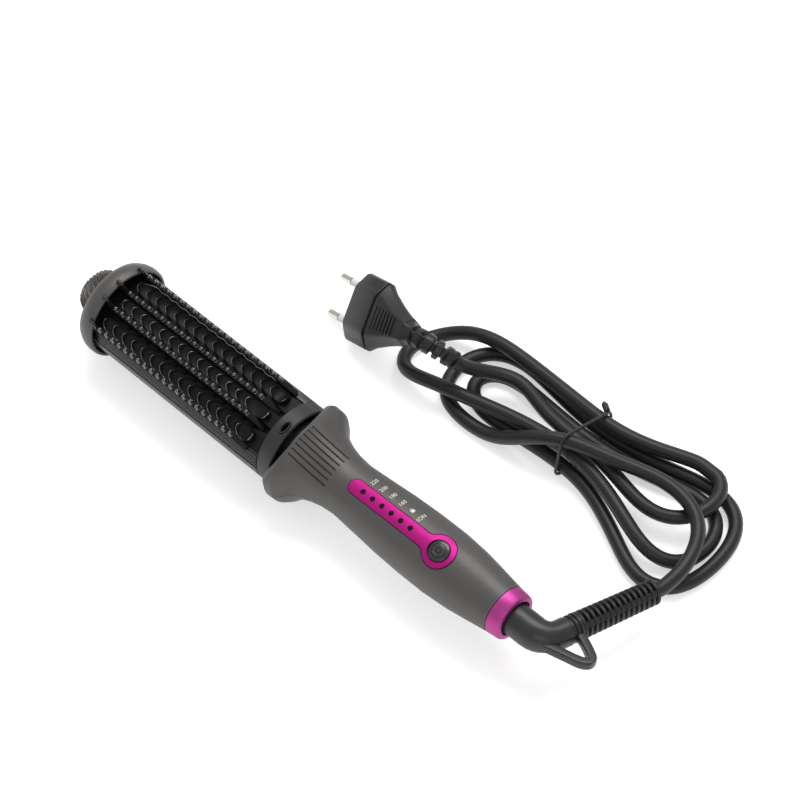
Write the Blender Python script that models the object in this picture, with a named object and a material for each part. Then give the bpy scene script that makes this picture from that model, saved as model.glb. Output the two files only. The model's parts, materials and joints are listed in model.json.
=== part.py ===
# Heated round styling brush with a swivel cord, tied hank and flat plug
#
# Sizes are in metres. The brush is modelled along its own axis: x runs from
# the ribbed tip to the cord end, z points to the button side. One empty then
# rolls the brush and lays its cap and guard on the floor, z = 0.

import math

import bmesh
import bpy
from mathutils import Matrix, Vector

# Driving dimensions

CLEARANCE = 0.0003          # gap between pieces that touch
OVERRUN = 0.004             # how far a cutter passes what it cuts

KNOB_RADIUS = 0.0127        # ribbed cool tip
KNOB_LENGTH = 0.0137
KNOB_FLUTE_DEPTH = 0.0009
KNOB_STEM_RADIUS = 0.0057
KNOB_STEM_LENGTH = 0.0060

BARREL_LENGTH = 0.1105      # cap edge to collar
BARREL_RADIUS = 0.0213
BARREL_WALL = 0.0018

CAP_PROUD = 0.0034          # grey ring cap, past the barrel's surface
CAP_LENGTH = 0.0123
CAP_WALL = 0.0019
CAP_CUP_DEPTH = 0.0060      # recess that the barrel stands in

TOOTH_SUNK = 0.0007         # inner ball tips below the barrel's surface
OUTER_TOOTH_PROUD = 0.0037  # outer ball tips past it
TOOTH_PITCH = 0.00447
TOOTH_START = 0.0050        # first tooth behind the cap's rim
TOOTH_HEIGHT = 0.0030       # ball tip above its rail
TOOTH_BALL = 0.0011         # radius of a ball tip
TOOTH_NECK = 0.00065
TOOTH_ROOT = 0.0010         # end prong's foot
RAIL_WIDTH = 0.0026
RAIL_RUNOUT = 0.0070        # sloping end behind the last tooth
HOOK_PROUD = 0.0016         # leaning end prong, over the cap's rim
HOOK_REACH = 0.0040

CORE_UNDERSIDE = 0.0030     # flat underside of the heated carrier below the axis
FIN_PITCH = 0.0065
FIN_HEIGHT = 0.0038         # raised edge of a fin above the hollow in front of the next
FIN_ARCH = 0.0048           # how far a fin's legs lie behind its crown
FIN_STEP = 0.0004
FIN_START = 0.0026          # first fin behind the cap's rim
MIDDLE_FIN_START = 0.0050
CLOSING_FIN = 0.0072        # last, reversed fin before the collar
BANK_LEDGE = 0.0016         # flat strip beside an inner rail
RIDGE_DEPTH = 0.0005        # grooves along the side walls

ELEMENT_WIDTH = 0.0080      # ceramic heating strip
ELEMENT_LENGTH = 0.0700
ELEMENT_THICKNESS = 0.0024
CLAMP_THICKNESS = 0.0006
CLAMP_WIDTH = 0.0140
FUSE_RADIUS = 0.0015
FUSE_LENGTH = 0.0110
SENSOR_RADIUS = 0.0011

COLLAR_LENGTH = 0.0086
COLLAR_WALL = 0.0016
OUTLET_WIDTH = 0.0074       # oval ion outlet, across the collar
OUTLET_LENGTH = 0.0042
OUTLET_RIM = 0.0008
OUTLET_PROUD = 0.0004

SOCKET_NECK_RADIUS = 0.0117
SOCKET_FLANGE = 0.0036
SOCKET_BORE = 0.0040

GUARD_OFFSET = 0.0075       # collar front to the guard's side edge
GUARD_PROUD = 0.0045        # past the barrel's surface
GUARD_LIP = 0.0016
NOTCH_DEPTH = 0.0063        # the guard's edge is set back on the button side
TOP_DROP = 0.0042
FLARE_LENGTH = 0.0340
NECK_RADIUS = 0.0140
PALM_RADIUS = 0.0166
END_RADIUS = 0.0124
HANDLE_LENGTH = 0.1295
HANDLE_WALL = 0.0020

GROOVE_LENGTH = 0.0205
GROOVE_PITCH = 0.00277
GROOVE_WIDTH = 0.0009
GROOVE_DEPTH = 0.0006
GROOVE_SETBACK = 0.0015     # behind the notched edge

STRIP_WIDTH = 0.0074        # magenta strip and its ring
STRIP_LENGTH = 0.0565       # rounded end to the button's centre
STRIP_DEPTH = 0.0010
STRIP_PROUD = 0.00015
STRIP_FIT = 0.00025
STRIP_RING_RADIUS = 0.0081
STRIP_NECK_FILLET = 0.0050
BUTTON_FROM_END_RING = 0.0352
BUTTON_RADIUS = 0.0052
BUTTON_FIT = 0.00025
BUTTON_TRAVEL = 0.0006
BUTTON_FLANGE = 0.0007
BUTTON_DOME = 0.0006
LED_RADIUS = 0.0011
LED_FIT = 0.00025
LED_PITCH = 0.00608
LED_FROM_BUTTON = 0.0177
LED_SUNK = 0.0003

BOARD_FROM_SOCKET = 0.0054
BOARD_MARGIN = 0.0049       # past the last light
BOARD_HEIGHT = 0.0070       # underside above the axis
BOARD_THICKNESS = 0.0016
SWITCH_SIDE = 0.0060
SWITCH_HEIGHT = 0.0020
SWITCH_STEM_RADIUS = 0.0016
ION_BOX_LENGTH = 0.0240
ION_BOX_WIDTH = 0.0130
ION_BOX_HEIGHT = 0.0090
ION_NEEDLE_RADIUS = 0.0004
LEAD_RADIUS = 0.0008

SCREW_HEAD_RADIUS = 0.0026
SCREW_HEAD_HEIGHT = 0.0016
SCREW_SHANK_RADIUS = 0.0011
SCREW_FROM_SOCKET = 0.0101
SCREW_FROM_END_RING = 0.0295

END_RING_LENGTH = 0.0072
END_RING_BORE = 0.0092
SLEEVE_RADIUS = 0.0101
SLEEVE_BORE = 0.0073
SLEEVE_LENGTH = 0.0120
JOURNAL_RADIUS = 0.0070
JOURNAL_FLANGE_RADIUS = 0.0086
JOURNAL_FLANGE = 0.0022
STUB_RADIUS = 0.0045
STUB_LENGTH = 0.0090
CONTACT_RADIUS = 0.0062
CONTACT_WIDTH = 0.0022
BRUSH_BLOCK_WIDTH = 0.0070   # carbon brushes under the contact rings
BRUSH_BLOCK_HEIGHT = 0.0040

ELBOW_RADIUS = 0.0081
ELBOW_END_RADIUS = 0.0068
ELBOW_START = 0.0096        # straight part past the end ring
ELBOW_BEND_RADIUS = 0.0095
ELBOW_END = 0.0102          # straight part that carries the loop's end
LOOP_REACH = 0.0410         # hanging loop past the end ring
LOOP_STRAP = 0.0036
LOOP_THICKNESS = 0.0042

RELIEF_RADIUS = 0.0066
RELIEF_END_RADIUS = 0.0060
RELIEF_GROOVE_DEPTH = 0.0011
RELIEF_LENGTH = 0.0432

CORD_DIAMETER = 0.0070
TIE_DIAMETER = 0.0016
HANK_REACH = 0.1020         # longest lobe, from the tie
HANK_WAIST = 0.0175         # strands' places beside the hank's centre line, at the tie
HANK_LOBE = 0.0600          # how far the lobes open
HANK_LAYER = 0.0079         # from strand to strand where they cross

HANK_CENTRE = (0.2262, 0.1036, 0.0)     # the tie, from the tip
PLUG_PLACE = (0.0952, 0.0863, 0.0156)   # middle between the pins, at their feet
TO_PLUG_POINTS = ((0.1663, 0.0986, 0.0166),)
LEAD_POINTS = ((0.1970, 0.0820, 0.0084), (0.2065, 0.0840, 0.0146), (0.2150, 0.0873, 0.0196),
               (0.2250, 0.0922, 0.0217), (0.2377, 0.0970, 0.0213), (0.2522, 0.1015, 0.0203),
               (0.2613, 0.1056, 0.0195), (0.2722, 0.1078, 0.0193), (0.2837, 0.1078, 0.0191),
               (0.2932, 0.1053, 0.0189), (0.3015, 0.0991, 0.0187), (0.3073, 0.0899, 0.0184),
               (0.3110, 0.0770, 0.0177))

PLUG_HALF_WIDTH = 0.0172
PLUG_FLAT_HALF_WIDTH = 0.0098
PLUG_HALF_THICKNESS = 0.0070
PLUG_EDGE = 0.0016
PLUG_FRONT_LENGTH = 0.0165
PLUG_BODY_LENGTH = 0.0450
PLUG_NECK_RADIUS = 0.0052
PLUG_NECK_LENGTH = 0.0240
PLUG_NECK_GROOVE = 0.0007
PLUG_GRIP_STEP = 0.0008
PIN_PITCH = 0.0186
PIN_RADIUS = 0.0020
PIN_SHANK_RADIUS = 0.0015
PIN_LENGTH = 0.0190
PIN_SLEEVE_LENGTH = 0.0100

# Angles in degrees, directions and counts

ROLL = 18.75                # the button side leans towards the viewer
CORD_TURN = -9.0            # turn of the swivel about the handle's axis
ELBOW_BEND = 78.5
PLUG_PINS_WAY = (-0.922, 0.104, -0.374)
PLUG_ACROSS_WAY = (0.204, -0.692, -0.693)
SHELL_ANGLE = 78.0          # half of the opening in the back shell
NOTCH_ANGLES = (22.0, 74.0) # full depth inside the first, none past the second
AROUND = 48
TEETH = 21
FINS = (15, 14, 15)
RIDGES = 3
LEDS = 6
GROOVES = 7
FLUTES = 22
RELIEF_RIBS = 15
NECK_SLOTS = 5
HANK_TURNS = (-0.09, 2.90)  # where the wound part starts and ends, in turns from the waist
HANK_POINTS = 24            # in each turn
TIE_POINTS = 24
HANK_CLIMB = (1.08, 1.23)   # where it comes down from the upper layer
HANK_DIP = (0.04, 0.12)     # the far left end rests on the floor

# Radii and places along the axis, worked out from the sizes above

CAP_RADIUS = BARREL_RADIUS + CAP_PROUD
GUARD_RADIUS = BARREL_RADIUS + GUARD_PROUD
HOOK_TIP_RADIUS = CAP_RADIUS + HOOK_PROUD
OUTER_TIP_RADIUS = BARREL_RADIUS + OUTER_TOOTH_PROUD

CAP_X = KNOB_LENGTH
BARREL_X = CAP_X + CAP_LENGTH
COLLAR_X = BARREL_X + BARREL_LENGTH
GUARD_X = COLLAR_X + GUARD_OFFSET
NECK_X = GUARD_X + FLARE_LENGTH
END_RING_X = GUARD_X + HANDLE_LENGTH
HANDLE_END_X = END_RING_X + END_RING_LENGTH
BUTTON_X = END_RING_X - BUTTON_FROM_END_RING
HEAD_START_X = BARREL_X - CAP_CUP_DEPTH + CLEARANCE
HEAD_END_X = COLLAR_X - CLEARANCE
ELBOW_TIP = HANDLE_END_X + LOOP_REACH
BOARD_END_X = BUTTON_X + SWITCH_SIDE
BOARD_X = BUTTON_X - LED_FROM_BUTTON - LED_PITCH * (LEDS - 1) - BOARD_MARGIN
SOCKET_END_X = BOARD_X - BOARD_FROM_SOCKET

# Shares of the named sizes, chosen by hand

KNOB_SHARES = ((0.0, 0.30), (0.06, 0.60), (0.22, 0.85), (0.50, 0.98), (1.0, 1.0))
INNER_ROW_SHARE = 0.235     # tooth rows beside the middle, of the barrel's radius, as the next five
OUTER_ROW_SHARE = 0.8075
OUTER_RAIL_SHARE = 0.577    # foot of an outer rail above the axis
MIDDLE_HOLLOW_SHARE = 0.704
SIDE_HOLLOW_SHARES = (0.600, 0.530)
CORE_SHARES = ((0.296, 0.516), (0.733, 0.357), (0.733, 0.141), (0.854, 0.141))
FIN_SHARES = (-1.0, -0.82, -0.5, 0.0, 0.5, 0.82, 1.0)
CAP_SHARES = ((0.0, 0.62), (0.08, 0.80), (0.24, 0.925), (0.46, 0.98), (0.66, 1.0), (0.90, 0.995),
              (1.0, 0.965))
FLARE_SHARES = ((0.0, 0.89), (0.06, 1.0), (0.18, 0.98), (0.265, 0.80), (0.353, 0.49), (0.47, 0.305),
                (0.60, 0.17), (0.765, 0.06), (1.0, 0.0))
NOTCH_SHARES = (1.0, 0.86, 0.56, 0.38, 0.22, 0.09, 0.02, 0.0, 0.0)
DROP_SHARES = (0.42, 0.70, 1.0, 0.72, 0.10, -0.12, -0.12, -0.02, 0.0)
MOUTH_SHARES = (1.0, 1.0, 1.0, 0.86, 0.0)
PALM_SHARES = ((0.0, 0.0), (0.14, 0.22), (0.30, 0.55), (0.50, 0.85), (0.74, 1.0), (0.86, 0.97), (1.0, 0.80))
TAIL_SHARES = ((0.0, 0.80), (0.35, 0.55), (0.70, 0.25), (1.0, 0.0))
LOOP_LINE_SHARES = ((0.38, -0.085), (0.56, -0.028), (0.76, 0.030), (0.90, 0.070), (0.975, 0.115),
                    (1.0, 0.165), (0.975, 0.215), (0.90, 0.262), (0.78, 0.322), (0.665, 0.368))
ELBOW_RIB_SHARES = ((0.42, 1.0), (0.50, 0.86), (0.60, 0.86), (0.66, 1.0), (0.74, 0.86), (0.84, 0.86),
                    (0.88, 1.0), (1.0, 1.0))
NECK_LINE_SHARES = ((0.0, 0.0, 0.0), (-0.29, 0.004, -0.03), (-0.52, 0.05, -0.175), (-0.667, 0.112, -0.383),
                    (-0.73, 0.17, -0.61))
HANK_WAIST_SHARES = (0.69, -0.12, 0.85, -0.565, 0.375, -0.76, 0.835, -1.12)
HANK_LOBE_SHARES = ((0.735, 0.167, -0.167), (0.657, 0.137, 0.560), (1.0, -0.208, 0.500),
                    (0.768, -0.030, 0.662), (0.640, 0.020, 0.233), (0.855, -0.140, 0.940),
                    (0.755, 0.010, 0.480))
PALM_END_SHARE = 0.72       # where the handle starts to narrow
NECK_TAPER_SHARE = 0.12     # of the plug's neck


# Small helpers

def material(name, colour, roughness, metallic=0.0):
    """A Principled BSDF with one colour, roughness and metallic value."""
    found = bpy.data.materials.get(name)
    if found:
        return found
    made = bpy.data.materials.new(name)
    made.use_nodes = True
    shader = made.node_tree.nodes["Principled BSDF"]
    shader.inputs["Base Color"].default_value = (*colour, 1.0)
    shader.inputs["Roughness"].default_value = roughness
    shader.inputs["Metallic"].default_value = metallic
    return made


def grey_metal():
    return material("warm_grey_lacquer", (0.115, 0.112, 0.106), 0.38, 0.55)


def dark_grey():
    return material("dark_grey_lacquer", (0.065, 0.064, 0.063), 0.42, 0.35)


def gloss_black():
    return material("gloss_black_coating", (0.010, 0.010, 0.011), 0.16)


def satin_black():
    return material("satin_black_plastic", (0.018, 0.018, 0.019), 0.42)


def cord_black():
    return material("black_cord_rubber", (0.014, 0.014, 0.015), 0.48)


def magenta():
    return material("magenta_lacquer", (0.42, 0.012, 0.21), 0.30, 0.25)


def bare_metal():
    return material("nickel", (0.72, 0.70, 0.66), 0.22, 1.0)


def aluminium():
    return material("aluminium", (0.60, 0.60, 0.61), 0.40, 1.0)


def ceramic():
    return material("white_ceramic", (0.78, 0.77, 0.74), 0.45)


def white_plastic():
    return material("white_plastic", (0.80, 0.79, 0.76), 0.40)


def board_green():
    return material("board_green", (0.02, 0.16, 0.06), 0.50)


def smoked_lens():
    return material("smoked_lens", (0.035, 0.010, 0.022), 0.12)


def add_object(name, mesh, look, parent=None, smooth=True):
    """Links a mesh as a named object, with its material and its parent."""
    item = bpy.data.objects.new(name, mesh)
    bpy.context.scene.collection.objects.link(item)
    mesh.materials.append(look)
    if smooth:
        mesh.shade_smooth()
        mesh.set_sharp_from_angle(angle=math.radians(38.0))
    item.parent = parent
    return item


def mesh_from_rings(name, rings, closed=False):
    """Bridges rings of points in turn. Open ends are capped; closed joins the last to the first."""
    bm = bmesh.new()
    loops = [[bm.verts.new(point) for point in ring] for ring in rings]
    count = len(loops[0])
    pairs = list(zip(loops, loops[1:]))
    if closed:
        pairs.append((loops[-1], loops[0]))
    for one, two in pairs:
        for i in range(count):
            j = (i + 1) % count
            bm.faces.new((one[i], one[j], two[j], two[i]))
    if not closed:
        bm.faces.new(list(reversed(loops[0])))
        bm.faces.new(loops[-1])
    bmesh.ops.recalc_face_normals(bm, faces=bm.faces)
    mesh = bpy.data.meshes.new(name)
    bm.to_mesh(mesh)
    bm.free()
    if signed_volume(mesh) < 0.0:
        mesh.flip_normals()
    return mesh


def signed_volume(mesh):
    mesh.calc_loop_triangles()
    total = 0.0
    for tri in mesh.loop_triangles:
        a, b, c = (mesh.vertices[i].co for i in tri.vertices)
        total += a.dot(b.cross(c))
    return total


def on_axis(x, radius, degrees):
    """A point at x, at a radius from the axis, turned from the button side towards +y."""
    turn = math.radians(degrees)
    return Vector((x, radius * math.sin(turn), radius * math.cos(turn)))


def turned(name, profile, around=AROUND):
    """Turns a closed profile of (x, radius) about the axis. A radius of zero closes the end."""
    solid_ends = profile[0][1] == 0.0
    if solid_ends:
        inner = profile[1:-1]
        rings = [[on_axis(x, r, 360.0 * k / around) for k in range(around)] for x, r in inner]
        return mesh_from_rings(name, rings)
    rings = [[on_axis(x, r, 360.0 * k / around) for k in range(around)] for x, r in profile]
    return mesh_from_rings(name, rings, closed=True)


def solid_turned(name, profile, around=AROUND):
    """Turns an open profile of (x, radius) about the axis, with flat ends."""
    rings = [[on_axis(x, r, 360.0 * k / around) for k in range(around)] for x, r in profile]
    return mesh_from_rings(name, rings)


def band(name, stations, outer, inner, first, last, steps, inner_steps=None, seam=0.0):
    """A wall between two surfaces from one angle to another. A station gives x for each angle."""
    inner_steps = inner_steps or steps
    rings = []
    for station in stations:
        ring = []
        for surface, count, forward in ((outer, steps, True), (inner, inner_steps, False)):
            for k in range(count + 1):
                share = k / count if forward else 1.0 - k / count
                angle = first + (last - first) * share
                point = on_axis(station(angle), surface(station, angle), angle)
                if k in (0, count) and seam:
                    point.z += seam
                ring.append(point)
        rings.append(ring)
    return mesh_from_rings(name, rings)


def prism(name, outline, start, end):
    """Extrudes an outline of (y, z) points along the axis."""
    rings = [[Vector((x, y, z)) for y, z in outline] for x in (start, end)]
    return mesh_from_rings(name, rings)


def box(name, low, high):
    outline = ((low[1], low[2]), (high[1], low[2]), (high[1], high[2]), (low[1], high[2]))
    return prism(name, outline, low[0], high[0])


def place(mesh, matrix):
    mesh.transform(matrix)
    return mesh


def joined(name, meshes):
    """Several separate closed shapes in one mesh, for a cutter."""
    bm = bmesh.new()
    for mesh in meshes:
        bm.from_mesh(mesh)
        bpy.data.meshes.remove(mesh)
    made = bpy.data.meshes.new(name)
    bm.to_mesh(made)
    bm.free()
    return made


def guide(name, mesh, parent=None):
    """A cutter: it shapes its neighbours and isn't a piece."""
    item = bpy.data.objects.new(name, mesh)
    bpy.context.scene.collection.objects.link(item)
    item.hide_render = True
    item.display_type = "WIRE"
    item.parent = parent
    return item


def boolean(item, cutter, operation):
    step = item.modifiers.new(cutter.name, "BOOLEAN")
    step.operation = operation
    step.object = cutter
    step.solver = "EXACT"


def smooth_at(table, x):
    """Reads a table of (x, value) points as one smooth curve through them."""
    if x <= table[0][0]:
        return table[0][1]
    if x >= table[-1][0]:
        return table[-1][1]
    k = 0
    while table[k + 1][0] < x:
        k += 1
    (x0, y0), (x1, y1) = table[k], table[k + 1]
    slope = (y1 - y0) / (x1 - x0)
    before = slope if k == 0 else (y1 - table[k - 1][1]) / (x1 - table[k - 1][0])
    after = slope if k + 2 >= len(table) else (table[k + 2][1] - y0) / (table[k + 2][0] - x0)
    t = (x - x0) / (x1 - x0)
    width = x1 - x0
    return (y0 * (1 + 2 * t) * (1 - t) ** 2 + y1 * t * t * (3 - 2 * t)
            + width * (before * t * (1 - t) ** 2 - after * t * t * (1 - t)))


def ease(share):
    share = min(1.0, max(0.0, share))
    return share * share * (3.0 - 2.0 * share)


def smooth_route(points, spacing):
    """Points a given distance apart along a smooth curve through the chosen ones."""
    chosen = [Vector(p) for p in points]
    ends = [2 * chosen[0] - chosen[1]] + chosen + [2 * chosen[-1] - chosen[-2]]
    fine = []
    for k in range(1, len(ends) - 2):
        a, b, c, d = ends[k - 1:k + 3]
        for i in range(24):
            t = i / 24
            fine.append(0.5 * (2 * b + (c - a) * t + (2 * a - 5 * b + 4 * c - d) * t * t
                               + (3 * b - a - 3 * c + d) * t ** 3))
    fine.append(chosen[-1])
    walked = [0.0]
    for one, two in zip(fine, fine[1:]):
        walked.append(walked[-1] + (two - one).length)
    count = max(2, round(walked[-1] / spacing))
    route, k = [], 0
    for i in range(count + 1):
        goal = walked[-1] * i / count
        while k < len(walked) - 2 and walked[k + 1] < goal:
            k += 1
        share = (goal - walked[k]) / max(walked[k + 1] - walked[k], 1e-12)
        route.append(fine[k].lerp(fine[k + 1], min(1.0, share)))
    return route


def tube(name, points, diameter, look, resolution, parent=None, cyclic=False):
    """A round tube along points, with filled ends."""
    data = bpy.data.curves.new(name, "CURVE")
    data.dimensions = "3D"
    data.bevel_depth = diameter / 2
    data.bevel_resolution = resolution
    data.use_fill_caps = True
    spline = data.splines.new("POLY")
    spline.points.add(len(points) - 1)
    for slot, point in zip(spline.points, points):
        slot.co = (*point, 1.0)
    spline.use_cyclic_u = cyclic
    item = bpy.data.objects.new(name, data)
    bpy.context.scene.collection.objects.link(item)
    data.materials.append(look)
    item.parent = parent
    return item


def swept(name, path, radii, sides, turn_share=0.0):
    """Rings of a round section along a path in one plane, z, with a radius at each point."""
    rings = []
    for k, (point, radius) in enumerate(zip(path, radii)):
        one = path[max(k - 1, 0)]
        two = path[min(k + 1, len(path) - 1)]
        along = (two - one).normalized()
        up = Vector((0.0, 0.0, 1.0))
        side = along.cross(up).normalized()
        ring = []
        for i in range(sides):
            turn = 2.0 * math.pi * (i + turn_share) / sides
            ring.append(point + radius * (math.cos(turn) * side + math.sin(turn) * up))
        rings.append(ring)
    return mesh_from_rings(name, rings)


# The handle's outer surface

def notch(angle):
    """1 on the button side, 0 on the sides and the back, smooth between."""
    turn = abs((angle + 180.0) % 360.0 - 180.0)
    full, none = NOTCH_ANGLES
    return 1.0 - ease((turn - full) / (none - full))


def flare_station(index):
    share = FLARE_SHARES[index][0]

    def x_at(angle):
        return GUARD_X + FLARE_LENGTH * share + NOTCH_DEPTH * NOTCH_SHARES[index] * notch(angle)
    x_at.flare = index
    x_at.x = GUARD_X + FLARE_LENGTH * share
    return x_at


def grip_station(x):
    def x_at(angle):
        return x
    x_at.flare = None
    x_at.x = x
    return x_at


def grip_radius(x):
    """Radius of the handle behind the flare."""
    turn_x = NECK_X + (END_RING_X - NECK_X) * PALM_END_SHARE
    if x <= turn_x:
        share = smooth_at(PALM_SHARES, (x - NECK_X) / (turn_x - NECK_X))
        return NECK_RADIUS + (PALM_RADIUS - NECK_RADIUS) * share
    share = smooth_at(TAIL_SHARES, (x - turn_x) / (END_RING_X - turn_x))
    start = TAIL_SHARES[0][1]
    top = NECK_RADIUS + (PALM_RADIUS - NECK_RADIUS) * start
    return END_RADIUS + (top - END_RADIUS) * share / start


def handle_surface(station, angle):
    if station.flare is None:
        return grip_radius(station.x)
    share = FLARE_SHARES[station.flare][1]
    radius = NECK_RADIUS + (GUARD_RADIUS - NECK_RADIUS) * share
    return radius - TOP_DROP * DROP_SHARES[station.flare] * notch(angle)


def handle_inside(station, angle):
    """The shells' inner surface: a thin lip at the guard's mouth, then the wall."""
    outside = handle_surface(station, angle)
    index = station.flare
    if index is None or index >= len(MOUTH_SHARES):
        return outside - HANDLE_WALL
    thin = MOUTH_SHARES[index]
    return outside - GUARD_LIP * thin - HANDLE_WALL * (1.0 - thin)


def handle_stations():
    flare = [flare_station(k) for k in range(len(FLARE_SHARES))]
    grip_shares = (0.14, 0.30, 0.46, 0.62, 0.76, 0.87, 0.95, 1.0)
    grip = [grip_station(NECK_X + (END_RING_X - NECK_X) * share) for share in grip_shares]
    return flare + grip


# Tip, cap and barrel

def make_cool_tip(frame):
    """Fluted knob with a stem that passes through the cap."""
    rings = []
    for x_share, r_share in KNOB_SHARES:
        ring = []
        for k in range(2 * FLUTES):
            depth = KNOB_FLUTE_DEPTH * r_share if k % 2 else 0.0
            ring.append(on_axis(KNOB_LENGTH * x_share, KNOB_RADIUS * r_share - depth, 180.0 * k / FLUTES))
        rings.append(ring)
    rings.append([p + Vector((0.0, 0.0, 0.0)) for p in rings[-1]])
    for point in rings[-1]:
        point.x = KNOB_LENGTH - CLEARANCE
    for point in rings[-2]:
        point.x = KNOB_LENGTH - 2 * KNOB_FLUTE_DEPTH
    for x in (KNOB_LENGTH - CLEARANCE, KNOB_LENGTH + KNOB_STEM_LENGTH):
        rings.append([on_axis(x, KNOB_STEM_RADIUS, 180.0 * k / FLUTES) for k in range(2 * FLUTES)])
    return add_object("cool_tip", mesh_from_rings("cool_tip", rings), grey_metal(), frame)


def make_end_cap(frame):
    """Ring cap: a rounded cup that the barrel stands in, with a bore for the knob's stem."""
    bore = KNOB_STEM_RADIUS + CLEARANCE
    floor_x = BARREL_X - CAP_CUP_DEPTH
    profile = [(CAP_X, bore)]
    profile += [(CAP_X + CAP_LENGTH * x, CAP_RADIUS * r) for x, r in CAP_SHARES]
    profile += [(BARREL_X, CAP_RADIUS - CAP_WALL), (floor_x, CAP_RADIUS - CAP_WALL), (floor_x, bore)]
    return add_object("end_cap", turned("end_cap", profile), grey_metal(), frame)


def make_back_shell(frame):
    """Smooth half shell behind the comb side."""
    ends = [grip_station(HEAD_START_X), grip_station(HEAD_END_X)]
    mesh = band("back_shell", ends, lambda s, a: BARREL_RADIUS, lambda s, a: BARREL_RADIUS - BARREL_WALL,
                SHELL_ANGLE, 360.0 - SHELL_ANGLE, 32)
    return add_object("back_shell", mesh, grey_metal(), frame)


def core_outline():
    """Seats for the rails and fin banks, a shoulder for each side wall and a slot for the element."""
    half = [(BARREL_RADIUS * y, BARREL_RADIUS * z) for y, z in CORE_SHARES]
    side = half[-1][0]
    slot = ELEMENT_WIDTH / 2 + CLEARANCE
    roof = ELEMENT_THICKNESS - CORE_UNDERSIDE + CLEARANCE
    under = [(side, -CORE_UNDERSIDE), (slot, -CORE_UNDERSIDE), (slot, roof),
             (-slot, roof), (-slot, -CORE_UNDERSIDE), (-side, -CORE_UNDERSIDE)]
    return [(-y, z) for y, z in reversed(half)] + half + under


def core_seat(y):
    """Height of a piece that stands on the core's top or slope."""
    (y0, z0), (y1, z1) = ((BARREL_RADIUS * a, BARREL_RADIUS * b) for a, b in CORE_SHARES[:2])
    return z0 + (z1 - z0) * max(0.0, (abs(y) - y0) / (y1 - y0)) + CLEARANCE


def make_heater_core(frame):
    mesh = prism("heater_core", core_outline(), HEAD_START_X, HEAD_END_X)
    return add_object("heater_core", mesh, aluminium(), frame, smooth=False)


def make_heating_parts(frame):
    """Ceramic strip in the core's slot, its spring clamp, the fuse and the sensor."""
    middle = (HEAD_START_X + HEAD_END_X) / 2
    start = middle - ELEMENT_LENGTH / 2
    end = middle + ELEMENT_LENGTH / 2
    half = ELEMENT_WIDTH / 2
    top = ELEMENT_THICKNESS - CORE_UNDERSIDE
    add_object("heater_element", box("heater_element", (start, -half, -CORE_UNDERSIDE), (end, half, top)),
               ceramic(), frame, smooth=False)
    low = -CORE_UNDERSIDE - CLEARANCE
    wide = CLAMP_WIDTH / 2
    drop = 2 * CLAMP_THICKNESS
    outline = [(-wide, low), (-half, low), (0.0, low), (half, low), (wide, low),
               (wide, low - CLAMP_THICKNESS), (half, low - CLAMP_THICKNESS), (0.0, low - drop),
               (-half, low - CLAMP_THICKNESS), (-wide, low - CLAMP_THICKNESS)]
    add_object("heater_clamp", prism("heater_clamp", outline, start, end), bare_metal(), frame, smooth=False)
    fuse_z = low - drop - CLEARANCE - FUSE_RADIUS
    fuse = solid_turned("thermal_fuse", [(middle, FUSE_RADIUS), (middle + FUSE_LENGTH, FUSE_RADIUS)], 12)
    add_object("thermal_fuse", place(fuse, Matrix.Translation((0.0, 0.0, fuse_z))), ceramic(), frame)
    bead_z = low - drop - CLEARANCE - SENSOR_RADIUS
    reach = SENSOR_RADIUS
    profile = [(start, reach / 2), (start + reach / 2, reach), (start + 2 * reach, reach),
               (start + 3 * reach, reach / 2)]
    bead = place(solid_turned("temperature_sensor", profile, 10), Matrix.Translation((reach, 0.0, bead_z)))
    add_object("temperature_sensor", bead, white_plastic(), frame)


def make_comb_row(frame, name, offset, foot, tip, start):
    """An upright rail with ball-tipped teeth, and a leaning end prong that reaches over the cap's rim."""
    bm = bmesh.new()
    half = RAIL_WIDTH / 2
    rail_top = tip - TOOTH_HEIGHT
    tooth_x = BARREL_X + TOOTH_START
    stops = [start] + [tooth_x + TOOTH_PITCH * (k - 0.5) for k in range(TEETH + 1)]
    middles = [(one + two) / 2 for one, two in zip(stops, stops[1:])]
    left = [bm.verts.new((x, -half, rail_top)) for x in stops]
    right = [bm.verts.new((x, half, rail_top)) for x in stops]
    left_mid = [bm.verts.new((x, -half, rail_top)) for x in middles]
    right_mid = [bm.verts.new((x, half, rail_top)) for x in middles]
    end = stops[-1] + RAIL_RUNOUT
    corners = [bm.verts.new((x, y, foot)) for x, y in
               ((start, -half), (start, half), (end, half), (end, -half))]
    bm.faces.new(corners)
    bm.faces.new([corners[0], left[0], right[0], corners[1]])
    bm.faces.new([corners[2], right[-1], left[-1], corners[3]])
    left_run = [v for pair in zip(left, left_mid + [None]) for v in pair if v]
    right_run = [v for pair in zip(right, right_mid + [None]) for v in pair if v]
    bm.faces.new([corners[0], corners[3]] + list(reversed(left_run)))
    bm.faces.new([corners[2], corners[1]] + right_run)
    for k in range(len(middles)):
        edge = [left[k], left_mid[k], left[k + 1], right[k + 1], right_mid[k], right[k]]
        if k == 0:
            add_tooth(bm, edge, hook_rings(rail_top, offset))
        else:
            x = tooth_x + TOOTH_PITCH * (k - 1)
            add_tooth(bm, edge, tooth_rings(x, tip), (x, 0.0, tip))
    bmesh.ops.recalc_face_normals(bm, faces=bm.faces)
    mesh = bpy.data.meshes.new(name)
    bm.to_mesh(mesh)
    bm.free()
    if signed_volume(mesh) < 0.0:
        mesh.flip_normals()
    place(mesh, Matrix.Translation((0.0, offset, 0.0)))
    return add_object(name, mesh, gloss_black(), frame)


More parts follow.
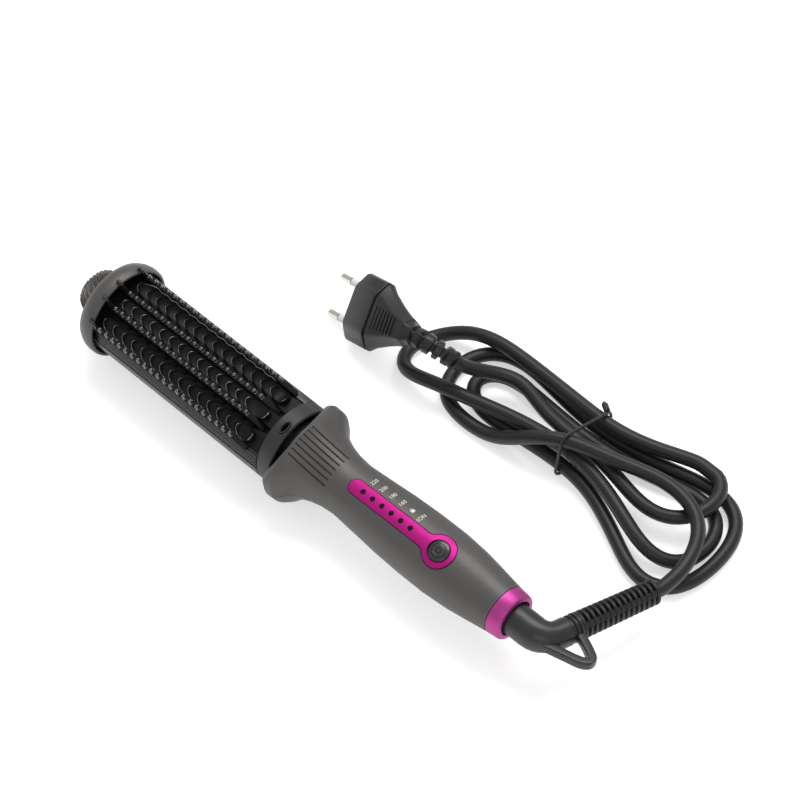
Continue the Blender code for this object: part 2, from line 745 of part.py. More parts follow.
def make_comb_rows(frame):
    """Two inner rows on the core and two outer ones on the side walls."""
    inner = BARREL_RADIUS * INNER_ROW_SHARE
    outer = BARREL_RADIUS * OUTER_ROW_SHARE
    for letter, offset in zip("abcd", (-outer, -inner, inner, outer)):
        if abs(offset) == inner:
            foot, tip, start = core_seat(offset), BARREL_RADIUS - TOOTH_SUNK, HEAD_START_X
        else:
            foot = BARREL_RADIUS * OUTER_RAIL_SHARE
            tip = math.sqrt(OUTER_TIP_RADIUS ** 2 - offset ** 2)
            start = BARREL_X + CLEARANCE
        make_comb_row(frame, f"comb_row_{letter}", offset, foot, tip, start)


def add_tooth(bm, edge, rings, top=None):
    """Joins a six-sided tooth to the six corners of its part of the rail."""
    last = edge
    for ring in rings:
        new = [bm.verts.new(p) for p in ring]
        for i in range(6):
            j = (i + 1) % 6
            bm.faces.new((last[i], last[j], new[j], new[i]))
        last = new
    if top is None:
        bm.faces.new(last)
        return
    point = bm.verts.new(top)
    for i in range(6):
        bm.faces.new((last[i], last[(i + 1) % 6], point))


def six_round(centre, radius, along=(1.0, 0.0, 0.0)):
    """Six points round a centre, in the order of a rail cell's corners."""
    run = Vector(along)
    side = Vector((0.0, 1.0, 0.0))
    ring = []
    for turn in (240.0, 270.0, 300.0, 60.0, 90.0, 120.0):
        a = math.radians(turn)
        ring.append(Vector(centre) + radius * (math.cos(a) * run + math.sin(a) * side))
    return ring


def tooth_rings(x, tip):
    ball = tip - TOOTH_BALL
    return [six_round((x, 0.0, ball - TOOTH_BALL), TOOTH_NECK),
            six_round((x, 0.0, ball), TOOTH_BALL)]


def hook_rings(rail_top, offset):
    """The leaning prong: up past the rim, then towards the tip."""
    foot_x = BARREL_X + TOOTH_BALL + CLEARANCE
    tip_z = math.sqrt(HOOK_TIP_RADIUS ** 2 - offset ** 2)
    bend_z = math.sqrt(CAP_RADIUS ** 2 - offset ** 2) + TOOTH_BALL / 2
    tip_x = foot_x - HOOK_REACH
    lean = (0.55, 0.0, 0.83)
    return [six_round((foot_x, 0.0, rail_top + TOOTH_ROOT / 2), TOOTH_ROOT),
            six_round((foot_x, 0.0, rail_top + (bend_z - rail_top) * 0.62), TOOTH_NECK * 1.2),
            six_round((foot_x - TOOTH_NECK, 0.0, bend_z), TOOTH_NECK, lean),
            six_round((tip_x + TOOTH_BALL, 0.0, tip_z - TOOTH_NECK), TOOTH_BALL * 0.8, lean),
            six_round((tip_x, 0.0, tip_z), TOOTH_BALL * 0.45, lean)]


def make_fin_bank(frame, name, side, fins):
    """Arched fins, like scales, between two rails. Each rises from a hollow to a curved lip and
    falls to the next, and a reversed one closes the bank."""
    rail = RAIL_WIDTH / 2 + CLEARANCE
    inner = BARREL_RADIUS * INNER_ROW_SHARE
    if side:
        near, far = inner + rail, BARREL_RADIUS * OUTER_ROW_SHARE - rail
        hollows = [BARREL_RADIUS * share for share in SIDE_HOLLOW_SHARES]
        ledge, first = BANK_LEDGE, BARREL_X + FIN_START
    else:
        near, far = rail - inner, inner - rail
        hollows = [BARREL_RADIUS * MIDDLE_HOLLOW_SHARE] * 2
        ledge, first = 0.0, BARREL_X + MIDDLE_FIN_START
    start = near + ledge
    rings = []

    def ring(x, arch, lift, crown):
        points = [Vector((x, near, core_seat(near)))]
        if ledge:
            points.append(Vector((x + max(arch, 0.0), near, hollows[0])))
        for share in FIN_SHARES:
            bow = 1.0 - math.sqrt(max(0.0, 1.0 - share * share))
            along = (share + 1.0) / 2
            hollow = hollows[0] + (hollows[1] - hollows[0]) * along
            points.append(Vector((x + arch * bow, start + (far - start) * along,
                                  hollow + lift + crown * (1.0 - share * share))))
        points.append(Vector((x, far, core_seat(far))))
        rings.append(points)

    ring(HEAD_START_X, 0.0, 0.0, 0.0)
    for k in range(fins):
        x = first + FIN_PITCH * k
        ring(x - FIN_STEP, FIN_ARCH, 0.0, 0.0)
        ring(x, FIN_ARCH, FIN_HEIGHT * 0.3, FIN_HEIGHT * 0.7)
    closing = COLLAR_X - CLOSING_FIN
    ring(closing, -FIN_ARCH, FIN_HEIGHT * 0.3, FIN_HEIGHT * 0.7)
    ring(closing + FIN_STEP, -FIN_ARCH, 0.0, 0.0)
    ring(HEAD_END_X, 0.0, 0.0, 0.0)
    mesh = mesh_from_rings(name, rings)
    if side < 0.0:
        place(mesh, Matrix.Scale(-1.0, 4, (0.0, 1.0, 0.0)))
        mesh.flip_normals()
    return add_object(name, mesh, gloss_black(), frame)


def make_edge_rail(frame, name, side):
    """Side wall on the core's shoulder, under an outer row, with ridges along its outside."""
    middle = BARREL_RADIUS * OUTER_ROW_SHARE
    inner, outer = middle - RAIL_WIDTH / 2, middle + RAIL_WIDTH / 2
    low = BARREL_RADIUS * CORE_SHARES[-1][1] + CLEARANCE
    high = BARREL_RADIUS * OUTER_RAIL_SHARE - CLEARANCE
    pitch = (high - low) / RIDGES
    outline = [(inner, low), (inner, high)]
    for k in range(RIDGES):
        top = high - pitch * k
        outline += [(outer - RIDGE_DEPTH, top), (outer, top - RIDGE_DEPTH),
                    (outer, top - pitch + RIDGE_DEPTH)]
    outline.append((outer - RIDGE_DEPTH, low))
    mesh = prism(name, [(side * y, z) for y, z in outline], HEAD_START_X, HEAD_END_X)
    return add_object(name, mesh, gloss_black(), frame)


# Collar, ion outlet and the socket that joins barrel and handle

def outlet_centre():
    return COLLAR_X + COLLAR_LENGTH * 0.62


def oval(name, length, width, low, high):
    """An upright oval solid at the outlet."""
    rings = []
    for z in (low, high):
        rings.append([Vector((outlet_centre() + length / 2 * math.cos(t), width / 2 * math.sin(t), z))
                      for t in (2.0 * math.pi * k / 20 for k in range(20))])
    return mesh_from_rings(name, rings)


def make_collar(frame):
    inside = BARREL_RADIUS - COLLAR_WALL
    end = COLLAR_X + COLLAR_LENGTH
    edge = COLLAR_WALL * 0.4
    profile = [(COLLAR_X, inside), (COLLAR_X, BARREL_RADIUS - edge), (COLLAR_X + edge, BARREL_RADIUS),
               (end - edge, BARREL_RADIUS), (end, BARREL_RADIUS - edge), (end, inside)]
    collar = add_object("collar", turned("collar", profile), dark_grey(), frame)
    hole = oval("outlet_cutter", OUTLET_LENGTH, OUTLET_WIDTH, inside - OVERRUN, BARREL_RADIUS + OVERRUN)
    boolean(collar, guide("outlet_cutter", hole, frame), "DIFFERENCE")
    return collar


def make_ion_outlet(frame):
    """Oval bezel in the collar's hole."""
    low = BARREL_RADIUS - COLLAR_WALL
    top = BARREL_RADIUS + OUTLET_PROUD
    fit = CLEARANCE
    loops = ((OUTLET_LENGTH - 2 * fit, OUTLET_WIDTH - 2 * fit, low),
             (OUTLET_LENGTH - 2 * fit, OUTLET_WIDTH - 2 * fit, top),
             (OUTLET_LENGTH - 2 * OUTLET_RIM, OUTLET_WIDTH - 2 * OUTLET_RIM, top),
             (OUTLET_LENGTH - 2 * OUTLET_RIM, OUTLET_WIDTH - 2 * OUTLET_RIM, low))
    rings = []
    for length, width, z in loops:
        rings.append([Vector((outlet_centre() + length / 2 * math.cos(t), width / 2 * math.sin(t), z))
                      for t in (2.0 * math.pi * k / 20 for k in range(20))])
    return add_object("ion_outlet", mesh_from_rings("ion_outlet", rings, closed=True), satin_black(), frame)


def make_barrel_socket(frame):
    """Heat-proof bush: a flange in the collar, a drum under the guard and a neck in the handle."""
    start = COLLAR_X + CLEARANCE
    flange = BARREL_RADIUS - COLLAR_WALL - CLEARANCE
    throat = flare_station(4)
    drum = handle_inside(throat, 0.0) - CLEARANCE
    drum_end = throat.x - 2 * CLEARANCE
    end = SOCKET_END_X
    profile = [(start, SOCKET_BORE), (start, flange), (start + SOCKET_FLANGE, flange),
               (start + SOCKET_FLANGE, drum), (drum_end, drum),
               (drum_end, SOCKET_NECK_RADIUS), (end, SOCKET_NECK_RADIUS), (end, SOCKET_BORE)]
    socket = add_object("barrel_socket", turned("barrel_socket", profile, 24), satin_black(), frame)
    needle_hole = solid_turned("needle_cutter", [(start - OVERRUN, ION_NEEDLE_RADIUS + CLEARANCE),
                                                 (end + OVERRUN, ION_NEEDLE_RADIUS + CLEARANCE)], 8)
    rise = SOCKET_NECK_RADIUS - 2 * ION_NEEDLE_RADIUS - CLEARANCE * 3
    place(needle_hole, Matrix.Translation((0.0, 0.0, rise)))
    boolean(socket, guide("needle_cutter", needle_hole, frame), "DIFFERENCE")
    return socket


# Handle shells

def strip_outline(grow):
    """Keyhole outline of (x, y): a rounded end, straight sides, a fillet and the ring."""
    half = STRIP_WIDTH / 2 + grow
    ring = STRIP_RING_RADIUS + grow
    fillet = STRIP_NECK_FILLET - grow
    end_x = BUTTON_X - STRIP_LENGTH + STRIP_WIDTH / 2
    centre_y = half + fillet
    centre_x = BUTTON_X - math.sqrt((ring + fillet) ** 2 - centre_y ** 2)
    lean = math.atan2(centre_y, BUTTON_X - centre_x)
    upper = [(end_x - half * math.sin(t), half * math.cos(t))
             for t in (math.pi / 2 * k / 5 for k in range(5, -1, -1))]
    for k in range(5):
        t = -math.pi / 2 + (math.pi / 2 - lean) * k / 4
        upper.append((centre_x + fillet * math.cos(t), centre_y + fillet * math.sin(t)))
    for k in range(1, 12):
        t = math.pi - lean - (math.pi - lean) * k / 12
        upper.append((BUTTON_X + ring * math.cos(t), ring * math.sin(t)))
    lower = [(x, -y) for x, y in reversed(upper[1:])]
    return upper + [(BUTTON_X + ring, 0.0)] + lower


def upright(name, outline, low, high):
    """Extrudes an outline of (x, y) points upright."""
    return mesh_from_rings(name, [[Vector((x, y, z)) for x, y in outline] for z in (low, high)])


def round_outline(x, radius, count):
    return [(x + radius * math.cos(t), radius * math.sin(t))
            for t in (2 * math.pi * k / count for k in range(count))]


def led_x(index):
    return BUTTON_X - LED_FROM_BUTTON - LED_PITCH * index


def hole_cutter(name, grow_led, grow_button):
    """The holes for the lenses and the button."""
    low = NECK_RADIUS / 2
    high = PALM_RADIUS + OVERRUN
    shapes = [upright(name, round_outline(led_x(k), LED_RADIUS + grow_led, 10), low, high)
              for k in range(LEDS)]
    shapes.append(upright(name, round_outline(BUTTON_X, BUTTON_RADIUS + grow_button, 28), low, high))
    return joined(name, shapes)


def pocket_guide(frame):
    """The strip's pocket: the keyhole outline above a floor that follows the handle."""
    low = NECK_RADIUS / 2
    prism_mesh = upright("pocket_cutter", strip_outline(STRIP_FIT), low, PALM_RADIUS + OVERRUN)
    cutter = guide("pocket_cutter", prism_mesh, frame)
    stations = handle_stations()[len(FLARE_SHARES) - 1:-1]
    floor = [[on_axis(s.x, grip_radius(s.x) - STRIP_DEPTH, 360.0 * k / AROUND) for k in range(AROUND)]
             for s in stations]
    boolean(cutter, guide("pocket_floor", mesh_from_rings("pocket_floor", floor), frame), "DIFFERENCE")
    return cutter


def groove_cutter():
    """Seven grooves that follow the flare on the button side."""
    shapes = []
    start = GUARD_X + NOTCH_DEPTH + GROOVE_SETBACK
    steps = 4
    flare = [flare_station(k) for k in range(len(FLARE_SHARES))]
    crest = [(s(0.0), handle_surface(s, 0.0)) for s in flare]
    for k in range(GROOVES):
        y = GROOVE_PITCH * (k - (GROOVES - 1) / 2)
        rings = []
        for i in range(steps + 1):
            x = start + GROOVE_LENGTH * i / steps
            radius = smooth_at(crest, x)
            surface = math.sqrt(radius * radius - y * y)
            half = GROOVE_WIDTH / 2
            low = surface - GROOVE_DEPTH
            rings.append([Vector((x, y - half, low)), Vector((x, y + half, low)),
                          Vector((x, y + half, surface + OVERRUN)), Vector((x, y - half, surface + OVERRUN))])
        shapes.append(mesh_from_rings("groove_cutter", rings))
    return joined("groove_cutter", shapes)


def make_upper_shell(frame):
    mesh = band("upper_shell", handle_stations(), handle_surface, handle_inside, -90.0, 90.0, AROUND // 2,
                AROUND // 6, seam=CLEARANCE / 2)
    shell = add_object("upper_shell", mesh, grey_metal(), frame)
    boolean(shell, pocket_guide(frame), "DIFFERENCE")
    boolean(shell, guide("hole_cutter", hole_cutter("hole_cutter", LED_FIT, BUTTON_FIT), frame), "DIFFERENCE")
    boolean(shell, guide("groove_cutter", groove_cutter(), frame), "DIFFERENCE")
    return shell


def screw_places():
    return (SOCKET_END_X + SCREW_FROM_SOCKET, END_RING_X - SCREW_FROM_END_RING)


def screw_seat(x):
    """Height of the screw head's seat in the lower shell."""
    return -grip_radius(x) + HANDLE_WALL * 0.85


def make_lower_shell(frame):
    mesh = band("lower_shell", handle_stations(), handle_surface, handle_inside, 90.0, 270.0, AROUND // 2,
                AROUND // 6, seam=-CLEARANCE / 2)
    shell = add_object("lower_shell", mesh, grey_metal(), frame)
    shapes = []
    for x in screw_places():
        seat = screw_seat(x)
        shapes.append(upright("screw_cutter", round_outline(x, SCREW_HEAD_RADIUS + CLEARANCE, 16),
                              seat - SCREW_HEAD_HEIGHT * 3, seat))
    boolean(shell, guide("screw_cutter", joined("screw_cutter", shapes), frame), "DIFFERENCE")
    holes = [upright("shank_cutter", round_outline(x, SCREW_SHANK_RADIUS + CLEARANCE, 10),
                     screw_seat(x) - OVERRUN, screw_seat(x) + OVERRUN) for x in screw_places()]
    boolean(shell, guide("shank_cutter", joined("shank_cutter", holes), frame), "DIFFERENCE")
    return shell


def make_screws(frame):
    for number, x in enumerate(screw_places(), 1):
        seat = screw_seat(x) - CLEARANCE
        rings = []
        for z, radius in ((seat - SCREW_HEAD_HEIGHT * 0.6, SCREW_HEAD_RADIUS * 0.7),
                          (seat - SCREW_HEAD_HEIGHT * 0.4, SCREW_HEAD_RADIUS), (seat, SCREW_HEAD_RADIUS),
                          (seat, SCREW_SHANK_RADIUS), (seat + SCREW_HEAD_HEIGHT * 4, SCREW_SHANK_RADIUS)):
            rings.append([Vector((px, py, z)) for px, py in round_outline(x, radius, 12)])
        name = f"shell_screw_{number}"
        add_object(name, mesh_from_rings(name, rings), bare_metal(), frame)


def make_trim_strip(frame):
    """Keyhole strip, cut from a thin layer that follows the handle."""
    stations = handle_stations()[len(FLARE_SHARES) - 1:-1]
    mesh = band("trim_strip", stations, lambda s, a: grip_radius(s.x) + STRIP_PROUD,
                lambda s, a: grip_radius(s.x) - STRIP_DEPTH + CLEARANCE, -37.5, 37.5, 10)
    strip = add_object("trim_strip", mesh, magenta(), frame, smooth=False)
    keyhole = upright("keyhole_guide", strip_outline(0.0), NECK_RADIUS / 2, PALM_RADIUS + OVERRUN)
    boolean(strip, guide("keyhole_guide", keyhole, frame), "INTERSECT")
    holes = hole_cutter("strip_hole_cutter", LED_FIT, BUTTON_FIT)
    boolean(strip, guide("strip_hole_cutter", holes, frame), "DIFFERENCE")
    return strip


def make_power_button(frame):
    """Domed button on a stem, with a flange that keeps it in the shell. It slides inwards."""
    top = grip_radius(BUTTON_X)
    inside = top - HANDLE_WALL
    reach = BUTTON_RADIUS + BUTTON_FLANGE
    flange_top = math.sqrt(inside ** 2 - reach ** 2) - CLEARANCE
    flange_low = flange_top - BUTTON_FLANGE
    levels = ((flange_low, reach), (flange_top, reach), (flange_top, BUTTON_RADIUS),
              (top - BUTTON_DOME / 2, BUTTON_RADIUS), (top, BUTTON_RADIUS * 0.93),
              (top + BUTTON_DOME / 2, BUTTON_RADIUS * 0.62), (top + BUTTON_DOME * 0.7, BUTTON_RADIUS * 0.25))
    rings = [[Vector((px, py, z - flange_low)) for px, py in round_outline(0.0, radius, 28)]
             for z, radius in levels]
    button = add_object("power_button", mesh_from_rings("power_button", rings), gloss_black(), frame)
    button.location = (BUTTON_X, 0.0, flange_low)
    return flange_low


def make_lenses(frame):
    """Light pipes from the board to the strip."""
    low = BOARD_HEIGHT + BOARD_THICKNESS + CLEARANCE
    for index in range(LEDS):
        x = led_x(index)
        top = grip_radius(x) + STRIP_PROUD - LED_SUNK
        rings = [[Vector((px, py, z)) for px, py in round_outline(x, LED_RADIUS, 10)] for z in (low, top)]
        name = f"led_lens_{index + 1}"
        add_object(name, mesh_from_rings(name, rings), smoked_lens(), frame)


def make_electronics(frame, button_foot):
    """Board between the shell walls, the key switch under the button and the ion generator."""
    start, length = BOARD_X, BOARD_END_X - BOARD_X
    top = BOARD_HEIGHT + BOARD_THICKNESS
    outline = []
    for k in range(8):
        x = start + length * k / 7
        inside = grip_radius(x) - HANDLE_WALL
        outline.append((x, math.sqrt(inside ** 2 - top ** 2) - 2 * CLEARANCE))
    outline = outline + [(x, -y) for x, y in reversed(outline)]
    board = upright("control_board", outline, BOARD_HEIGHT, top)
    add_object("control_board", board, board_green(), frame, smooth=False)
    half = SWITCH_SIDE / 2
    base = top + CLEARANCE
    body = base + SWITCH_HEIGHT
    reach = button_foot - BUTTON_TRAVEL - CLEARANCE
    corner = half * 0.7
    rings = []
    for z, side in ((base, corner * 1.4), (body, corner * 1.4), (body, SWITCH_STEM_RADIUS),
                    (max(reach, body + CLEARANCE), SWITCH_STEM_RADIUS)):
        rings.append([Vector((px, py, z)) for px, py in round_outline(BUTTON_X, side, 8)])
    add_object("key_switch", mesh_from_rings("key_switch", rings), satin_black(), frame, False)
    x = start + length / 3
    under = BOARD_HEIGHT - CLEARANCE
    low = (x, -ION_BOX_WIDTH / 2, under - ION_BOX_HEIGHT)
    high = (x + ION_BOX_LENGTH, ION_BOX_WIDTH / 2, under)
    add_object("ion_generator", box("ion_generator", low, high), satin_black(), frame, False)
    rise = SOCKET_NECK_RADIUS - 2 * ION_NEEDLE_RADIUS - CLEARANCE * 3
    tip = outlet_centre()
    profile = [(tip, ION_NEEDLE_RADIUS / 2), (tip + OUTLET_LENGTH, ION_NEEDLE_RADIUS),
               (start + 2 * CLEARANCE, ION_NEEDLE_RADIUS)]
    needle = solid_turned("ion_needle", profile, 8)
    place(needle, Matrix.Translation((0.0, 0.0, rise)))
    add_object("ion_needle", needle, bare_metal(), frame)


def make_heater_leads(frame):
    """Two insulated wires from the board, through the socket, to the heating strip."""
    end = BOARD_X + (BOARD_END_X - BOARD_X) * 0.2
    middle = (HEAD_START_X + HEAD_END_X) / 2
    start = middle + ELEMENT_LENGTH / 2
    for number, side in ((1, -1.0), (2, 1.0)):
        y = side * 2 * LEAD_RADIUS
        low = -CORE_UNDERSIDE + ELEMENT_THICKNESS / 2
        under = BOARD_HEIGHT - LEAD_RADIUS - CLEARANCE
        points = [(start + CLEARANCE, y, low), (start + 4 * LEAD_RADIUS, y, low), (COLLAR_X, y, low),
                  (SOCKET_END_X, y, low), (end - 8 * LEAD_RADIUS, y, under), (end, y, under)]
        tube(f"heater_lead_{number}", smooth_route(points, 12 * LEAD_RADIUS), 2 * LEAD_RADIUS,
             white_plastic(), 1, frame)


# Handle end, swivel and hanging loop

def make_end_ring(frame):
    edge = (END_RADIUS - END_RING_BORE) * 0.3
    start = END_RING_X + CLEARANCE
    end_radius = END_RADIUS * 0.95
    profile = [(start, END_RING_BORE), (start, END_RADIUS), (HANDLE_END_X - edge, end_radius),
               (HANDLE_END_X - edge * 0.25, end_radius - edge * 0.5),
               (HANDLE_END_X, end_radius - edge * 1.3), (HANDLE_END_X, END_RING_BORE)]
    return add_object("end_ring", turned("end_ring", profile, 32), magenta(), frame)


def make_swivel_sleeve(frame):
    """Bearing sleeve held by the shells and the end ring."""
    end = END_RING_X + END_RING_LENGTH * 0.6
    start = end - SLEEVE_LENGTH
    wide = END_RADIUS - HANDLE_WALL - CLEARANCE
    slim = END_RING_BORE - CLEARANCE
    step = END_RING_X - CLEARANCE
    profile = [(start, SLEEVE_BORE), (start, wide), (step, wide), (step, slim), (end, slim),
               (end, SLEEVE_BORE)]
    return add_object("swivel_sleeve", turned("swivel_sleeve", profile, 24), white_plastic(), frame), start


def make_brush_block(frame, flange_x):
    """Holder of the carbon brushes that press on the contact rings."""
    half = BRUSH_BLOCK_WIDTH / 2
    top = -CONTACT_RADIUS - CLEARANCE
    start = flange_x - STUB_LENGTH + CLEARANCE
    mesh = box("brush_block", (start, -half, top - BRUSH_BLOCK_HEIGHT), (flange_x - CLEARANCE, half, top))
    add_object("brush_block", mesh, satin_black(), frame, smooth=False)


def make_contacts(swivel, flange_x):
    """Two brass rings on the elbow's inner stub."""
    for number in (1, 2):
        start = flange_x - HANDLE_END_X - CLEARANCE - number * (CONTACT_WIDTH + CLEARANCE)
        bore = STUB_RADIUS + CLEARANCE
        profile = [(start, bore), (start, CONTACT_RADIUS), (start + CONTACT_WIDTH, CONTACT_RADIUS),
                   (start + CONTACT_WIDTH, bore)]
        name = f"contact_ring_{number}"
        look = material("brass", (0.62, 0.44, 0.16), 0.30, 1.0)
        add_object(name, turned(name, profile, 16), look, swivel)


def elbow_path():
    """Centre line of the elbow past the end ring, in the swivel's own plane."""
    bend = math.radians(ELBOW_BEND)
    points = [Vector((ELBOW_START, 0.0, 0.0))]
    for k in range(1, 8):
        t = bend * k / 7
        points.append(Vector((ELBOW_START + ELBOW_BEND_RADIUS * math.sin(t),
                              ELBOW_BEND_RADIUS * (1.0 - math.cos(t)), 0.0)))
    leave = Vector((math.cos(bend), math.sin(bend), 0.0))
    points += [points[-1] + leave * ELBOW_END * share for share, _ in ELBOW_RIB_SHARES]
    return points, leave


def make_swivel_elbow(swivel, flange_x):
    """Journal in the sleeve, the bent body and the hanging loop, moulded in one."""
    path, leave = elbow_path()
    stub = flange_x - HANDLE_END_X - STUB_LENGTH
    flange = flange_x - HANDLE_END_X
    sleeve_end = END_RING_X + END_RING_LENGTH * 0.6 + CLEARANCE - HANDLE_END_X
    turned_part = [(stub, STUB_RADIUS), (flange - JOURNAL_FLANGE * 0.02, STUB_RADIUS),
                   (flange, JOURNAL_FLANGE_RADIUS), (flange + JOURNAL_FLANGE, JOURNAL_FLANGE_RADIUS),
                   (flange + JOURNAL_FLANGE, JOURNAL_RADIUS), (sleeve_end, JOURNAL_RADIUS),
                   (sleeve_end, ELBOW_RADIUS)]
    points = [Vector((x, 0.0, 0.0)) for x, _ in turned_part] + path
    radii = [r for _, r in turned_part]
    ribs = [ELBOW_END_RADIUS * share for _, share in ELBOW_RIB_SHARES]
    bends = len(path) - len(ribs)
    radii += [ELBOW_RADIUS + (ELBOW_END_RADIUS - ELBOW_RADIUS) * ease(k / (bends - 1)) for k in range(bends)]
    radii += ribs
    body = swept("swivel_elbow", points, radii, 18, 0.5)
    elbow = add_object("swivel_elbow", body, satin_black(), swivel)
    boolean(elbow, guide("loop_guide", hanging_loop(), swivel), "UNION")
    return path[-1], leave


def loop_line():
    """Centre line of the hanging loop: out along the elbow, round a corner, back to its end."""
    reach = LOOP_REACH - LOOP_STRAP / 2
    return [Vector((reach * along, reach * aside, 0.0)) for along, aside in LOOP_LINE_SHARES]


def hanging_loop():
    """A flat strap along the loop's line, its ends inside the elbow."""
    line = smooth_route(loop_line(), LOOP_STRAP * 1.05)
    rings = []
    for k, point in enumerate(line):
        along = (line[min(k + 1, len(line) - 1)] - line[max(k - 1, 0)]).normalized()
        side = Vector((along.y, -along.x, 0.0)) * (LOOP_STRAP / 2)
        up = Vector((0.0, 0.0, LOOP_THICKNESS / 2))
        rings.append([point + side + up, point + side - up, point - side - up, point - side + up])
    return mesh_from_rings("loop_guide", rings)


def make_strain_relief(swivel, start, leave):
    """Ribbed sleeve: rings of two radii in turn."""
    bend = math.atan2(leave.y, leave.x)
    profile = []
    rib = (RELIEF_LENGTH - CLEARANCE) / (RELIEF_RIBS - 0.4)
    for k in range(RELIEF_RIBS):
        radius = RELIEF_RADIUS + (RELIEF_END_RADIUS - RELIEF_RADIUS) * k / (RELIEF_RIBS - 1)
        x = CLEARANCE + rib * k
        profile.append((x, radius))
        profile.append((x + rib * 0.6, radius))
        if k < RELIEF_RIBS - 1:
            profile.append((x + rib * 0.8, radius - RELIEF_GROOVE_DEPTH))
    mesh = solid_turned("strain_relief", profile, 12)
    place(mesh, Matrix.Translation(start) @ Matrix.Rotation(bend, 4, "Z"))
    return add_object("strain_relief", mesh, cord_black(), swivel)


# Cord, hank, tie and plug, in the room's own frame

def hank_point(turns, centre, lift):
    """A point of the hank. Each half turn is a lobe between two places at the waist: a right
    lobe, then a left one. The first turn lies on the upper layer, the rest on the floor."""
    half_turns = turns * 2
    index = math.floor(half_turns)
    reach, shift, width = HANK_LOBE_SHARES[index + 1]
    start, end = (HANK_WAIST * share for share in HANK_WAIST_SHARES[index + 1:index + 3])
    side = 1.0 if index % 2 == 0 else -1.0
    phase = math.pi * (half_turns - index - 0.5)
    swing = math.sin(phase)
    x = side * HANK_REACH * reach * math.cos(phase)
    y = (start + end) / 2 + (end - start) / 2 * swing
    y += HANK_LOBE * (shift + side * width * swing) * math.cos(phase) ** 2
    down, floor = HANK_CLIMB
    upper = 1.0 - ease((turns - down) / (floor - down))
    near, far = HANK_DIP
    upper *= ease((abs(turns - 0.75) - near) / (far - near))
    z = CORD_DIAMETER / 2 + HANK_LAYER * upper + lift * abs(swing) ** 6
    return centre + Vector((x, y, z))


def hank_line(centre, lift):
    """The hank's points, with one straight diameter at each end."""
    first, last = HANK_TURNS
    count = round((last - first) * HANK_POINTS)
    points = [hank_point(first + (last - first) * k / count, centre, lift) for k in range(count + 1)]
    before = (points[0] - points[1]).normalized() * CORD_DIAMETER
    after = (points[-1] - points[-2]).normalized() * CORD_DIAMETER
    return [points[0] + before] + points + [points[-1] + after]


def least_gap(points, diameter):
    """Least clear distance between runs of a tube that aren't neighbours along it."""
    fine, walked = [], []
    along = 0.0
    for one, two in zip(points, points[1:]):
        for k in range(6):
            fine.append(one.lerp(two, k / 6))
            walked.append(along + (two - one).length * k / 6)
        along += (two - one).length
    least = along
    for i in range(len(fine)):
        for j in range(i + 1, len(fine)):
            if walked[j] - walked[i] > 5 * diameter:
                least = min(least, (fine[i] - fine[j]).length)
    return least - diameter, along


def make_tie(parent, x, strands):
    """Wire tie drawn round the strands at the waist."""
    reach = CORD_DIAMETER / 2 + TIE_DIAMETER / 2 + CLEARANCE * 1.5
    points = []
    for k in range(TIE_POINTS):
        turn = 2.0 * math.pi * (k + 0.5) / TIE_POINTS
        out = Vector((0.0, math.cos(turn), math.sin(turn)))
        furthest = max(strands, key=lambda strand: strand.dot(out))
        points.append(Vector((x, furthest.y, furthest.z)) + out * reach)
    return tube("cord_tie", points, TIE_DIAMETER, cord_black(), 0, parent, cyclic=True)


def plug_frame():
    """Where the plug lies: its pins' side, and how it is turned."""
    to_pins = Vector(PLUG_PINS_WAY).normalized()
    across = Vector(PLUG_ACROSS_WAY)
    across = (across - to_pins * across.dot(to_pins)).normalized()
    face = to_pins.cross(across)
    basis = Matrix((to_pins, across, face)).transposed().to_4x4()
    return basis


def plug_ring(x, half, flat, thick, edge):
    """A flattened six-sided outline of twelve points, across the plug."""
    ring = []
    corner = min(edge, thick * 0.8)
    for sy, sz in ((1, 1), (-1, 1), (-1, -1), (1, -1)):
        flat_end = (sy * (flat - corner * 0.6), sz * thick)
        slope_start = (sy * flat, sz * (thick - corner * 0.2))
        side_point = (sy * half, sz * corner)
        trio = [side_point, slope_start, flat_end]
        if sy * sz < 0:
            trio.reverse()
        ring += trio
    return [Vector((x, y, z)) for y, z in ring]


def round_ring(centre, along, radius, across, face):
    """Twelve points of a circle, in the order of plug_ring."""
    side = (across - along * across.dot(along)).normalized()
    up = along.cross(side)
    if up.dot(face) < 0.0:
        up = -up
    turns = (15.0, 48.0, 72.0, 108.0, 132.0, 165.0, 195.0, 228.0, 252.0, 288.0, 312.0, 345.0)
    return [centre + radius * (math.cos(t) * side + math.sin(t) * up) for t in map(math.radians, turns)]


